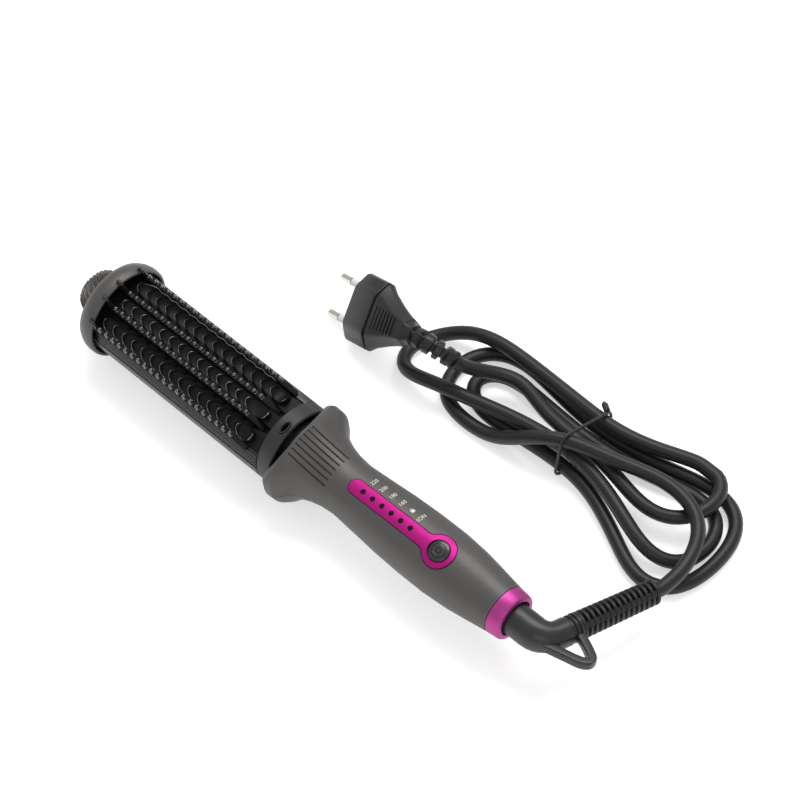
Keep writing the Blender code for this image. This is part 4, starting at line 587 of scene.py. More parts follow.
def rubber(name, grey, rough, grain, gloss=0.5):
    """Black vinyl or rubber with pores of a size in metres. Gloss is the shader's specular level."""
    finish = Finish(name, specular_ior_level=gloss)
    patch = finish.cloud(HANDLED_PATCH, 3.0)
    fine = finish.cloud(grain, 2.0, 0.6)
    dark = tuple(grey * part for part in (0.86, 0.85, 0.86))
    pale = tuple(grey * part for part in (1.22, 1.20, 1.22))
    finish.feed("Base Color", finish.colours(patch * 0.7 + fine * 0.3, dark, pale))
    finish.feed("Roughness", rough + (patch - 0.5) * 0.16 + (fine - 0.5) * 0.10)
    finish.bump(fine, grain * 0.10, 0.6)
    return finish


cord_jacket = rubber("cord_jacket", 0.016, 0.40, 0.00035, 0.32)
moulded_rubber = rubber("moulded_rubber", 0.013, 0.42, 0.00028, 0.42)
tie_wire = rubber("tie_wire", 0.012, 0.50, 0.00030)
print("rubbers made")


# %% The cord
def round_tube(name, points, radius, sides, cyclic=False):
    """A curve with a round section. More sides make it rounder."""
    data = bpy.data.curves.new(name, "CURVE")
    data.dimensions = "3D"
    data.bevel_depth = radius
    data.bevel_resolution = sides
    data.use_fill_caps = True
    spline = data.splines.new("POLY")
    spline.points.add(len(points) - 1)
    for slot, point in zip(spline.points, points):
        slot.co = (*point, 1.0)
    spline.use_cyclic_u = cyclic
    spline.use_smooth = True
    return data


CORD_SOLIDS = ["cord_lead", "cord_hank", "cord_to_plug"]
cord_curve = round_tube("mains_cord", route, CORD / 2, 5)
cord = add_piece("mains_cord", cord_curve, cord_jacket, "swivel", CORD_SOLIDS)
print("cord", round(1000 * CORD, 1), "mm thick")

# %% [markdown]
# ## The tie
# A coated wire goes once round the strands and its two ends are twisted together at the far side. The wire
# lies on the strands, so its line is the tight outline round their middles, moved out by half a cord.

# %% The tie's wire and twist
TIE_WIRE = 0.0016
TIE_TWIST = 0.0060
TIE_WAY = Vector((-0.80, 0.55, -0.22)).normalized()
TIE_TURNS = 2.5
TWIST_STEPS = 30


def tie_strands():
    """Where the strands pass the hank's waist."""
    at = [hank_point(k / 2) for k in range(6)]
    lead = [shifted(p) for p in LEAD_POINTS]
    for a, b in zip(lead, lead[1:]):
        if a.x <= HANK_CENTRE.x < b.x:
            at.append(a.lerp(b, (HANK_CENTRE.x - a.x) / (b.x - a.x)))
    return at


def tie_line(count=60):
    """The tight outline round the strands, as points at equal angles."""
    reach = CORD / 2 + TIE_WIRE / 2 + GAP * 1.5
    strands = tie_strands()
    points = []
    for k in range(count):
        turn = 2.0 * math.pi * k / count
        out = Vector((0.0, math.cos(turn), math.sin(turn)))
        furthest = max(strands, key=lambda strand: strand.dot(out))
        points.append(Vector((HANK_CENTRE.x, furthest.y, furthest.z)) + out * reach)
    return points


def twist_line(foot, phase):
    """One of the two ends, a helix round the twist's own axis."""
    side = TIE_WAY.cross(Vector((1.0, 0.0, 0.0))).normalized()
    other = TIE_WAY.cross(side)
    points = []
    for k in range(TWIST_STEPS + 1):
        share = k / TWIST_STEPS
        turn = phase + 2.0 * math.pi * TIE_TURNS * share
        out = (side * math.cos(turn) + other * math.sin(turn)) * TIE_WIRE * 0.52
        points.append(foot + TIE_WAY * TIE_TWIST * share + out)
    return points


def make_tie():
    """The loop and its two ends, as three pieces."""
    ring = tie_line()
    top = max(ring, key=lambda p: p.z + p.y * 0.6)
    foot = top + TIE_WAY * TIE_WIRE * 0.6
    wires = [round_tube("tie_loop", ring, TIE_WIRE / 2, 3, cyclic=True)]
    for number, phase in ((1, 0.0), (2, math.pi)):
        wires.append(round_tube(f"tie_end_{number}", twist_line(foot, phase), TIE_WIRE / 2, 2))
    return [add_piece(wire.name, wire, tie_wire, "swivel", ["cord_tie"]) for wire in wires]


tie_pieces = make_tie()
print("tie round", len(tie_strands()), "strands")

# %% [markdown]
# ## The strain relief
# A soft sleeve keeps the cord from kinking where it leaves the elbow. It is a tube with slots cut in turn
# from two sides, so that it bends and doesn't stretch. A ring's radius depends here on the angle: it drops
# in a slot and stays on the spine.

# %% The slotted sleeve
RELIEF_RADIUS = 0.0066
RELIEF_TIP_RADIUS = 0.0060
RELIEF_SLOT_DEPTH = 0.0027
RELIEF_SPINE_STEP = 0.0005
RELIEF_RIBS = 15
RELIEF_SIDES = 48
RELIEF_SPINES = (44.0, 224.0)
SPINE_DEGREES = 17.0
SPINE_SOFT = 7.0
RIB_SHARE = 0.50
RIB_EDGE = 0.07
SLOT_SHARES = (0.52, 0.98)


def relief_rings():
    """Rings along the sleeve: four to a rib and two to the slot behind it."""
    side = RELIEF_WAY.cross(Vector((0.0, 0.0, 1.0))).normalized()
    up = side.cross(RELIEF_WAY)
    pitch = (RELIEF_LENGTH - GAP) / (RELIEF_RIBS - 0.4)
    rings = []

    def ring(x, radius, depth):
        points = []
        for k in range(RELIEF_SIDES):
            degrees = 360.0 * k / RELIEF_SIDES
            cut = depth * ease((from_nearest(degrees, RELIEF_SPINES) - SPINE_DEGREES) / SPINE_SOFT)
            turn = math.radians(degrees)
            out = side * math.cos(turn) + up * math.sin(turn)
            points.append(RELIEF_FOOT + RELIEF_WAY * x + out * (radius - cut))
        rings.append(points)

    for k in range(RELIEF_RIBS):
        radius = RELIEF_RADIUS + (RELIEF_TIP_RADIUS - RELIEF_RADIUS) * k / (RELIEF_RIBS - 1)
        x = GAP + pitch * k
        edge = pitch * RIB_EDGE
        end = pitch * RIB_SHARE
        for along, drop in ((0.0, edge), (edge, 0.0), (end - edge, 0.0), (end, edge)):
            ring(x + along, radius - drop, 0.0)
        if k < RELIEF_RIBS - 1:
            for share in SLOT_SHARES:
                ring(x + pitch * share, radius - RELIEF_SPINE_STEP, RELIEF_SLOT_DEPTH)
    return rings


relief = add_piece("slotted_relief", lofted("slotted_relief", relief_rings(), 40.0), moulded_rubber,
                   "swivel", ["strain_relief"])
print("relief", RELIEF_RIBS, "ribs")

# %% [markdown]
# ## The plug
# The flat two-pin plug has a six-sided body, a groove round it, a ribbed grip that narrows towards the cord
# and a slotted neck. It is one loft along its length: each ring has its own width, depth and rounding.

# %% The plug's outlines
PLUG_HALF = 0.0172
PLUG_FLAT = 0.0098
PLUG_THICK = 0.0070
PLUG_FRONT = 0.0165
PLUG_SOFT = 0.0016
PLUG_TIP = 0.0009
# place behind the front part and inset of the groove's rings
GROOVE_RINGS = ((-0.0004, 0.0), (0.0, 0.0003), (0.0002, 0.0011), (0.0011, 0.0011), (0.0013, 0.0004),
                (0.0018, 0.0001))
# place along the grip, width and thickness, as shares
GRIP_RINGS = ((0.20, 0.83, 0.96), (0.35, 0.72, 0.93), (0.50, 0.61, 0.90), (0.68, 0.50, 0.88),
              (0.80, 0.44, 0.86), (0.88, 0.41, 0.84), (0.90, 0.36, 0.78))
GRIP_FLAT_SHARE = 0.62
PLUG_NECK_RADIUS = 0.0052
NECK_TAPER = 0.12
NECK_SLOTS = 5
NECK_SLOT_SHARE = (0.34, 0.74)
NECK_SLOT_DEPTH = 0.0020
NECK_SPINES = (100.0, 280.0)
NECK_SPINE_DEGREES = 22.0
NECK_SPINE_SOFT = 10.0
NECK_CORNERS = (14.0, 52.0, 128.0, 166.0, 194.0, 232.0, 308.0, 346.0)
CORNER_POINTS = 6
CORNER_FAN = 4.6


def six_sided(x, half, flat, thick, soft):
    """A flat outline with sloping sides. Each of its eight corners is rounded by six points."""
    corners = [(half, soft), (flat, thick), (-flat, thick), (-half, soft), (-half, -soft), (-flat, -thick),
               (flat, -thick), (half, -soft)]
    rounding = min(soft * 1.4, thick * 0.5)
    outline = []
    for k, corner in enumerate(corners):
        here = Vector(corner)
        before = Vector(corners[k - 1]) - here
        after = Vector(corners[(k + 1) % len(corners)]) - here
        room = min(rounding, before.length * 0.45, after.length * 0.45)
        for i in range(CORNER_POINTS):
            t = i / (CORNER_POINTS - 1)
            reach = before.normalized() * (1 - t) ** 2 + after.normalized() * t ** 2
            outline.append(here + reach * room)
    return [Vector((x, p.x, p.y)) for p in outline]


def neck_ring(centre, along, radius, cut):
    """A round ring whose points lie where the body's corners end, so that both can be bridged."""
    across = Vector((0.0, 1.0, 0.0))
    side = (across - along * across.dot(along)).normalized()
    up = along.cross(side)
    if up.z < 0.0:
        up = -up
    points = []
    for middle in NECK_CORNERS:
        for i in range(CORNER_POINTS):
            degrees = middle + (i - (CORNER_POINTS - 1) / 2) * CORNER_FAN
            depth = cut * ease((from_nearest(degrees, NECK_SPINES) - NECK_SPINE_DEGREES) / NECK_SPINE_SOFT)
            turn = math.radians(degrees)
            points.append(centre + (side * math.cos(turn) + up * math.sin(turn)) * (radius - depth))
    return points


# %% The plug's body and neck as rings
def plug_rings():
    """The body: a rounded front edge, the groove behind it and the narrowing grip."""
    insets = [(0.0, PLUG_TIP), (PLUG_TIP * 0.3, PLUG_TIP * 0.3), (PLUG_TIP, 0.0)]
    insets += [(PLUG_FRONT + back, inset) for back, inset in GROOVE_RINGS]
    rings = [six_sided(-back, PLUG_HALF - inset, PLUG_FLAT - inset, PLUG_THICK - inset, PLUG_SOFT)
             for back, inset in insets]
    for share, wide, deep in GRIP_RINGS:
        x = -PLUG_FRONT - (PLUG_BODY_LENGTH - PLUG_FRONT) * share
        half = PLUG_HALF * wide
        rings.append(six_sided(x, half, half * GRIP_FLAT_SHARE, PLUG_THICK * deep, PLUG_SOFT * wide))
    return rings


def plug_neck_rings():
    """The bent neck, with windows cut between its two spines."""
    line = neck_line(PLUG_NECK_LENGTH / 40)
    rings = []
    last = len(line) - 1
    first_cut, last_cut = NECK_SLOT_SHARE
    for k, centre in enumerate(line):
        share = k / last
        radius = PLUG_NECK_RADIUS * (1.0 - NECK_TAPER * share)
        slotted = first_cut < (share * NECK_SLOTS) % 1.0 < last_cut and 0 < k < last
        rings.append(neck_ring(centre, way_at(line, k), radius, NECK_SLOT_DEPTH if slotted else 0.0))
    return rings


# %% The plug and its grip ribs
GRIP_RIBS = 7
FIRST_RIB_SHARE = 0.14
RIB_PITCH_SHARE = 0.085
RIB_SUNK = 0.0008
RIB_PROUD = 0.0004
RIB_HALF = 0.00055
RIB_END = 0.0005


def placed(rings, matrix):
    """The rings, moved by a matrix."""
    return [[matrix @ p for p in ring] for ring in rings]


def grip_ribs():
    """Low ridges across each broad face of the grip, with sloping ends."""
    bm = bmesh.new()
    for face in (1.0, -1.0):
        for k in range(GRIP_RIBS):
            share = FIRST_RIB_SHARE + RIB_PITCH_SHARE * k
            x = -PLUG_FRONT - (PLUG_BODY_LENGTH - PLUG_FRONT) * share
            half = PLUG_HALF * (0.40 - 0.17 * share)
            top = PLUG_THICK * (0.975 - 0.10 * share)
            low, high, crest = top - RIB_SUNK, top + RIB_PROUD, RIB_HALF * 0.6
            inner = half - RIB_END
            rings = []
            for y, drop in ((-half, RIB_END), (-inner, 0.0), (inner, 0.0), (half, RIB_END)):
                outline = ((-RIB_HALF, low), (-crest, high - drop), (crest, high - drop), (RIB_HALF, low))
                rings.append([Vector((x + along, y, face * z)) for along, z in outline])
            bridge(bm, rings)
    bm.transform(PLUG)
    return mesh_of(bm, "plug_grip_ribs", 30.0)


plug_mesh = lofted("plug_moulding", placed(plug_rings() + plug_neck_rings(), PLUG), 32.0)
plug_piece = add_piece("plug_moulding", plug_mesh, moulded_rubber, "swivel", ["plug_body"])
ribs_piece = add_piece("plug_grip_ribs", grip_ribs(), moulded_rubber, "swivel")
print("plug moulding", len(plug_mesh.vertices), "points")

# %% [markdown]
# ## Lacquers
# Handle, cap and barrel have one warm grey lacquer with metal flakes. A flake is a tiny mirror, so the
# colour sparkles a little from cell to cell while the whole stays satin. The magenta trim is the same kind
# of paint in another colour, in two copies: lighter on the ring as painted light, darker on the strip as
# painted shade. The guard's seven grooves get painted shade: a mask made from the brush's own measures
# darkens the paint in them.

# %% Painted shade in the grooves, as a mask
GROOVES = 7
GROOVE_PITCH = 0.00277
GROOVE_HALF = 0.00030
GROOVE_SPAN = (0.1516, 0.1724)
GROOVE_END = 0.0003
# how dark the painted shade in the grooves is, as a share of the paint
GROOVE_SHADE = 0.28
# keeps the repeating pattern's input above zero
WHOLE_PITCHES = GROOVE_PITCH * 20.0


def groove_shade_mask(finish):
    """1 in the grooves of the guard, where shade is painted, found from the brush's own x and y."""
    inside = {"operation": "DOT_PRODUCT"}
    from_tip = finish.node("VectorMath", {"operation": "SUBTRACT"}, {0: finish.where(), 1: tuple(TIP)})
    turn = BRUSH.to_3x3()
    along, across, up = (finish.node("VectorMath", inside, {0: from_tip, 1: tuple(turn.col[k])}, "Value")
                         for k in range(3))
    repeat = {"operation": "PINGPONG"}
    beside = finish.node("Math", repeat, {0: across + WHOLE_PITCHES, 1: GROOVE_PITCH / 2})
    line = 1.0 - beside.sharpened(GROOVE_HALF * 0.8, GROOVE_HALF * 1.1)
    first, last = GROOVE_SPAN
    ends = along.sharpened(first, first + GROOVE_END) * (1.0 - along.sharpened(last - GROOVE_END, last))
    from_middle = finish.node("Math", {"operation": "ABSOLUTE"}, {0: across})
    outermost = GROOVE_PITCH * (GROOVES - 1) / 2
    sides = 1.0 - from_middle.sharpened(outermost + GROOVE_PITCH * 0.3, outermost + GROOVE_PITCH * 0.4)
    return line * ends * sides * (up > 0.0)


print("grooves", GROOVES)


# %% Lacquer with flakes
FLAKE = 0.00022
TONE_DRIFT = 0.045
TOUCH_PATCH = 0.012


def lacquer(name, colour, metallic, rough, flake, shaded_grooves=False):
    """Paint with metal flakes. `flake` is how far their tone differs, as a share. The last argument paints
    shade into the guard's grooves.
    """
    finish = Finish(name)
    flakes = finish.grains(FLAKE)
    drift = finish.cloud(TONE_DRIFT, 2.0)
    touch = finish.cloud(TOUCH_PATCH, 3.0, 0.55)
    dark = tuple(c * (1.0 - flake) for c in colour)
    pale = tuple(min(1.0, c * (1.0 + flake)) for c in colour)
    paint = finish.colours(flakes * 0.55 + drift * 0.45, dark, pale)
    # painted shade: the paint in the guard's grooves is darkened where their shade falls
    if shaded_grooves:
        paint = finish.colours(groove_shade_mask(finish), paint, tuple(c * GROOVE_SHADE for c in colour))
    finish.feed("Base Color", paint)
    finish.feed("Metallic", metallic + (flakes - 0.5) * 0.20)
    finish.feed("Roughness", rough + (touch - 0.5) * 0.10 + (flakes - 0.5) * 0.06)
    finish.bump(finish.cloud(0.0011, 1.0) * 0.8 + flakes * 0.2, 0.000006, 0.5)
    return finish


HANDLE_GREY = (0.092, 0.086, 0.082)
handle_lacquer = lacquer("handle_lacquer", HANDLE_GREY, 0.36, 0.46, 0.14)
# the guard's copy of the lacquer has painted shade in its grooves
guard_lacquer_groove_shade = lacquer("guard_lacquer_groove_shade", HANDLE_GREY, 0.36, 0.46, 0.14, shaded_grooves=True)
collar_lacquer = lacquer("collar_lacquer", (0.026, 0.025, 0.026), 0.20, 0.46, 0.10)
# one magenta paint in two copies: the ring's lighter as painted light, the strip's darker as painted shade
ring_lacquer_lit = lacquer("ring_lacquer_lit", (0.44, 0.050, 0.260), 0.72, 0.42, 0.12)
strip_lacquer_shaded = lacquer("strip_lacquer_shaded", (0.44, 0.010, 0.205), 0.78, 0.46, 0.12)
print("lacquers made")

# %% [markdown]
# ## Black plastics, metal and the pieces inside
# The teeth are gloss black under a clear coat and the fins are dull. Elbow and button are moulded plastic.
# How much a black piece shines is set by its specular level, since its colour has little to do with it.
# Pins, brass, board and ceramic are mostly hidden, and each still gets the grain of its own material.

# %% Plastics
SMEAR = 0.014


def moulded(name, colour, rough, grain, depth, coat=0.0, gloss=0.5):
    """Plastic with a grain of a size and depth in metres, and smears that dull it here and there."""
    finish = Finish(name, coat_weight=coat, coat_roughness=0.08, specular_ior_level=gloss)
    fine = finish.cloud(grain, 2.0, 0.6)
    smear = finish.cloud(SMEAR, 3.0)
    dark = tuple(c * 0.85 for c in colour)
    pale = tuple(min(1.0, c * 1.15) for c in colour)
    finish.feed("Base Color", finish.colours(smear, dark, pale))
    finish.feed("Roughness", rough + (smear - 0.5) * rough * 0.5)
    finish.bump(fine, depth, 0.5)
    return finish


scale_black = moulded("scale_black", (0.0075, 0.0072, 0.0075), 0.46, 0.0009, 0.000004, gloss=0.16)
tooth_gloss = moulded("tooth_gloss", (0.016, 0.016, 0.017), 0.16, 0.0009, 0.000003, coat=1.0, gloss=0.9)
lens_plastic = moulded("lens_plastic", (0.005, 0.002, 0.004), 0.16, 0.0008, 0.000002, gloss=0.25)
wall_satin = moulded("wall_satin", (0.010, 0.010, 0.011), 0.26, 0.0009, 0.000004)
shadow_gap = moulded("shadow_gap", (0.004, 0.003, 0.004), 0.60, 0.0008, 0.000002, gloss=0.1)
button_gloss = moulded("button_gloss", (0.020, 0.020, 0.021), 0.24, 0.0008, 0.000003, coat=0.2)
satin_plastic = moulded("satin_plastic", (0.017, 0.017, 0.018), 0.36, 0.00030, 0.000012)
white_plastic = moulded("white_plastic", (0.76, 0.75, 0.72), 0.38, 0.0005, 0.000006)
print_ink = moulded("print_ink", (0.70, 0.69, 0.66), 0.50, 0.0002, 0.000004)
print("plastics made")

# %% Metals, board and ceramic
def turned_metal(name, colour, rough, lines):
    """Metal with fine lines round it, left by the lathe or the drawing die."""
    finish = Finish(name)
    scratches = finish.cloud(0.00035, 3.0, 0.65, finish.stretched(*lines))
    dull = finish.cloud(0.006, 2.0)
    finish.feed("Metallic", 1.0)
    finish.feed("Base Color", finish.colours(dull, tuple(c * 0.9 for c in colour), colour))
    finish.feed("Roughness", rough + (scratches - 0.5) * 0.14 + (dull - 0.5) * 0.08)
    finish.bump(scratches, 0.000005, 0.4)
    return finish


def speckled(name, colour, other, size, low, high, rough):
    """Two colours in clean-edged patches: solder pads on a board, or sinter marks on ceramic."""
    finish = Finish(name)
    patches = finish.cloud(size, 1.0).sharpened(low, high)
    finish.feed("Base Color", finish.colours(patches, colour, other))
    finish.feed("Roughness", rough + patches * 0.12)
    finish.bump(patches, 0.00002, 0.5)
    return finish


# painted highlight: the lip beads are bright metal where the lips catch the light
lip_highlight_metal = turned_metal("lip_highlight_metal", (0.30, 0.30, 0.31), 0.26, (0.3, 1.0, 1.0))
pin_metal = turned_metal("pin_metal", (0.66, 0.64, 0.59), 0.24, (0.4, 1.0, 1.0))
contact_brass = turned_metal("contact_brass", (0.66, 0.47, 0.18), 0.28, (1.0, 0.5, 0.5))
board_green = speckled("board_green", (0.015, 0.12, 0.05), (0.55, 0.50, 0.36), 0.0022, 0.62, 0.64, 0.35)
heater_ceramic = speckled("heater_ceramic", (0.76, 0.75, 0.71), (0.58, 0.56, 0.52), 0.0009, 0.6, 0.72, 0.55)
print("metals, board and ceramic made")

# %% [markdown]
# ## Edges for the rigid pieces
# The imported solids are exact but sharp, and each facet is shaded flat. A welded copy with smooth shading up
# to an angle and a small bevel catches the light as a moulding does. The copy stands for its solid. Small
# and hidden pieces keep their solids, and get smooth shading and a finish only.

# %% A finished copy of a solid
SMOOTH_DEGREES = 32.0
WELD = 0.000002
FLAT_DEGREES = 0.25


def finished(node, finish, edge):
    """A welded, smooth copy that stands for its solid, with edges rounded by a width in metres."""
    source = frame["nodes"][node].data
    bm = bmesh.new()
    points = [bm.verts.new(v.co) for v in source.vertices]
    for face in source.polygons:
        bm.faces.new([points[i] for i in face.vertices])
    bmesh.ops.remove_doubles(bm, verts=bm.verts, dist=WELD)
    bmesh.ops.dissolve_limit(bm, angle_limit=math.radians(FLAT_DEGREES), verts=bm.verts, edges=bm.edges)
    mesh = mesh_of(bm, node + "_finished", SMOOTH_DEGREES)
    body = frame["nodes"][node]["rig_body"]
    piece = add_piece(node + "_finished", mesh, finish, body, [node])
    if edge:
        bevel = piece.modifiers.new("soft_edge", "BEVEL")
        bevel.width = edge
        bevel.segments = 2
        bevel.limit_method = "ANGLE"
        bevel.angle_limit = math.radians(SMOOTH_DEGREES)
        bevel.use_clamp_overlap = True
        bevel.harden_normals = True


# solid, finish and width of its rounded edges
FINISHED = (("upper_shell", guard_lacquer_groove_shade, 0.00012), ("lower_shell", handle_lacquer, 0.0001),
            ("end_cap", handle_lacquer, 0.0002), ("back_shell", handle_lacquer, 0.0002),
            ("collar", collar_lacquer, 0.0001), ("trim_strip", strip_lacquer_shaded, 0.0),
            ("end_ring", ring_lacquer_lit, 0.0001), ("barrel_socket", scale_black, 0.0),
            ("ion_outlet", collar_lacquer, 0.0), ("power_button", button_gloss, 0.0),
            ("swivel_elbow", satin_plastic, 0.0002), ("swivel_sleeve", white_plastic, 0.0))
for row in FINISHED:
    finished(*row)
print("finished copies", len(FINISHED))

# %% Nodes that keep their solids
KEPT = {
    pin_metal: ("plug_pin_1", "plug_pin_2", "shell_screw_1", "shell_screw_2", "heater_clamp", "ion_needle"),
    white_plastic: ("pin_sleeve_1", "pin_sleeve_2", "heater_lead_1", "heater_lead_2", "temperature_sensor"),
    lens_plastic: tuple(f"led_lens_{k}" for k in range(1, 7)),
    contact_brass: ("contact_ring_1", "contact_ring_2"),
    board_green: ("control_board",),
    heater_ceramic: ("heater_element", "thermal_fuse"),
    satin_plastic: ("key_switch", "ion_generator", "brush_block"),
    scale_black: ("heater_core",),
}
for finish, names in KEPT.items():
    for name in names:
        solid = frame["nodes"][name]
        if not solid.material_slots:
            solid.data.materials.append(finish.material)
        for slot in solid.material_slots:
            slot.material = finish.material
        solid.data.shade_smooth()
        solid.data.set_sharp_from_angle(angle=math.radians(SMOOTH_DEGREES))
print("solids kept", sum(len(names) for names in KEPT.values()))

# %% [markdown]
# ## Combs
# Four rows of ball-tipped teeth part the hair over the heated fins. They stand upright, side by side, so
# the outer rows start lower on the barrel. A tooth is a turned profile: a stem that widens at its foot, a
# thin neck and a round ball. The first prong of a row leans over the cap's rim.

# %% The head's section
BARREL_RADIUS = 0.0213
INNER_ROW = BARREL_RADIUS * 0.235
OUTER_ROW = BARREL_RADIUS * 0.8075
BARREL_X = 0.0260
HEAD_START_X = 0.0203
COLLAR_X = 0.1365
HEAD_END_X = COLLAR_X - GAP
CAP_RADIUS = 0.0247
OUTER_TIP_RADIUS = 0.0250
HOOK_TIP_RADIUS = 0.0263
HOOK_REACH = 0.0040
RAIL_HALF = 0.0013
RAIL_RUNOUT = 0.0070
TOOTH_START = 0.0050
TOOTH_PITCH = 0.00447
TEETH = 21
TOOTH_HEIGHT = 0.0030
TOOTH_BALL = 0.0011
TOOTH_NECK = 0.00062
INNER_TIP_SUNK = 0.0007
OUTER_RAIL_FOOT = BARREL_RADIUS * 0.577
# half width and height of the carrier's flat top, and of the foot of its slope, in barrel radii
CORE_TOP = (0.296, 0.516)
CORE_SLOPE_FOOT = (0.733, 0.357)


def core_seat(y):
    """Height of a piece that stands on the carrier's flat top or on its slope."""
    (y0, z0), (y1, z1) = CORE_TOP, CORE_SLOPE_FOOT
    share = max(0.0, (abs(y) / BARREL_RADIUS - y0) / (y1 - y0))
    return BARREL_RADIUS * (z0 + (z1 - z0) * share) + GAP


print("carrier's top at", round(1000 * core_seat(0.0), 2), "mm")


# %% Rails and turned forms
RAIL_CHAMFER = RAIL_HALF * 0.3
RAIL_END = 0.0006
# step and drop of the crest where the rail starts to run out
RUNOUT_BEND = (0.0012, 0.0004)
LEAST_HEIGHT = 0.00005


def add_rail(bm, start, full, end, foot, top):
    """A rail with chamfered edges, which runs out to its foot behind the last tooth."""
    half, edge = RAIL_HALF, RAIL_CHAMFER
    step, drop = RUNOUT_BEND
    rings = []
    for x, height in ((start, top), (full, top), (full + step, top - drop), (end, foot + RAIL_END)):
        side = height - edge
        crest = [(half, side), (half - edge, height), (-half + edge, height), (-half, side)]
        outline = [(-half, foot), (half, foot)] + [(y, max(z, foot + LEAST_HEIGHT)) for y, z in crest]
        rings.append([Vector((x, y, z)) for y, z in outline])
    bridge(bm, rings)


def add_turned(bm, line, radii, sides=12):
    """A round form along a line in the plane y = 0, closed at both ends."""
    side = Vector((0.0, 1.0, 0.0))
    rings = [round_ring(point, side, way_at(line, k).cross(side), radii[k], sides)
             for k, point in enumerate(line)]
    bridge(bm, rings)


def ball_end(radius, steps=8):
    """Offsets and radii of a ball from its neck round to its top."""
    turns = [math.pi * (0.22 + 0.77 * k / steps) for k in range(steps + 1)]
    return [(-radius * math.cos(t), radius * math.sin(t)) for t in turns]


# %% Teeth and leaning prongs
# height above the rail, and radius as a share of the neck's
TOOTH_FOOT = ((-0.0002, 1.9), (0.0002, 1.5), (0.0005, 1.1))
HOOK_BALL = 0.00112
HOOK_BALL_PLACE = (0.0016, 0.0012)
HOOK_BEND = 0.0008
HOOK_SUNK = 0.0002
HOOK_ROOT = 0.0011
HOOK_THINS = 0.00036
HOOK_END = 0.0009


def add_tooth(bm, x, tip):
    """A stem that widens at its foot, with a ball on top."""
    profile = [(tip - TOOTH_HEIGHT + up, TOOTH_NECK * share) for up, share in TOOTH_FOOT]
    profile += [(tip - TOOTH_BALL + up, radius) for up, radius in ball_end(TOOTH_BALL)]
    add_turned(bm, [Vector((x, 0.0, z)) for z, radius in profile], [radius for z, radius in profile])


def add_hook(bm, rail, offset):
    """The leaning prong: up past the cap's rim, over it and into a ball."""
    foot_x = BARREL_X + TOOTH_BALL + GAP
    tip_z = math.sqrt(HOOK_TIP_RADIUS ** 2 - offset ** 2)
    bend_z = math.sqrt(CAP_RADIUS ** 2 - offset ** 2) + TOOTH_BALL / 2
    back, down = HOOK_BALL_PLACE
    ball = Vector((foot_x - HOOK_REACH + back, 0.0, tip_z - down))
    chosen = [(foot_x, 0.0, rail - HOOK_SUNK), (foot_x, 0.0, rail + (bend_z - rail) * 0.6),
              (foot_x - HOOK_BEND, 0.0, bend_z), tuple(ball)]
    line = smooth_route(chosen, 0.0006)
    way = (line[-1] - line[-2]).normalized()
    line = [p for p in line if (p - ball).length > HOOK_END]
    radii = [HOOK_ROOT - HOOK_THINS * ease(k / len(line)) for k in range(len(line))]
    for step, radius in ball_end(HOOK_BALL):
        line.append(ball + way * step)
        radii.append(radius)
    add_turned(bm, line, radii)


def make_row(node, offset):
    """One row's rail, teeth and leaning prong, as three pieces."""
    inner = abs(offset) == INNER_ROW
    tip = BARREL_RADIUS - INNER_TIP_SUNK if inner else math.sqrt(OUTER_TIP_RADIUS ** 2 - offset ** 2)
    foot = core_seat(offset) if inner else OUTER_RAIL_FOOT
    rail = tip - TOOTH_HEIGHT
    first = BARREL_X + TOOTH_START
    full = first + TOOTH_PITCH * (TEETH - 0.5)
    rail_form, teeth_form, hook_form = (bmesh.new() for _ in range(3))
    add_rail(rail_form, HEAD_START_X if inner else BARREL_X + GAP, full, full + RAIL_RUNOUT, foot, rail)
    for k in range(TEETH):
        add_tooth(teeth_form, first + TOOTH_PITCH * k, tip)
    add_hook(hook_form, rail, offset)
    for word, form, finish in (("rail", rail_form, scale_black), ("teeth", teeth_form, tooth_gloss),
                               ("hook", hook_form, wall_satin)):
        form.transform(BRUSH @ Matrix.Translation((0.0, offset, 0.0)))
        name = f"{node}_{word}"
        add_piece(name, mesh_of(form, name, 40.0), finish, "brush", [node])


for letter, offset in zip("abcd", (-OUTER_ROW, -INNER_ROW, INNER_ROW, OUTER_ROW)):
    make_row("comb_row_" + letter, offset)
print("teeth", TEETH * 4)

# %% [markdown]
# ## Heated fins
# Between the rows lie three banks of arched fins, like scales. Each rises from a hollow to a thin curved
# lip that faces the tip, and its legs trail back to the rails. A reversed fin closes the bank at the collar.
# A scale is a few cross sections in turn, all bowed by the same arch. A thin bright metal bead on part of
# each lip is a painted highlight, where the lip catches the light.

# %% A bank's rings
FIN_PITCH = 0.0065
FIN_HEIGHT = 0.0038
FIN_ARCH = 0.0048
FIN_START = 0.0026
MIDDLE_FIN_START = 0.0050
CLOSING_FIN = 0.0072
BANK_LEDGE = 0.0016
FIN_ACROSS = 21
FINS = (15, 14, 15)
# height between the fins at a bank's two rails, in barrel radii
SIDE_HOLLOWS = (0.600, 0.530)
MIDDLE_HOLLOWS = (0.704, 0.704)
# place behind the crown, lift of the whole section, and crown, as shares of the fin's height
SCALE_SHARES = ((-0.10, 0.0, 0.0), (-0.05, 0.20, 0.55), (0.0, 0.30, 0.70), (0.08, 0.30, 0.69),
                (0.16, 0.22, 0.56), (0.30, 0.14, 0.38), (0.70, 0.04, 0.14))
LIP_CROWN = 0.70
LIP_HIGHLIGHT_BEAD = 0.00021
# for each bank, which of a lip's points carry the painted highlight
LIP_HIGHLIGHT_SPANS = {-1.0: (7, 21), 0.0: (1, 17), 1.0: (1, 10)}


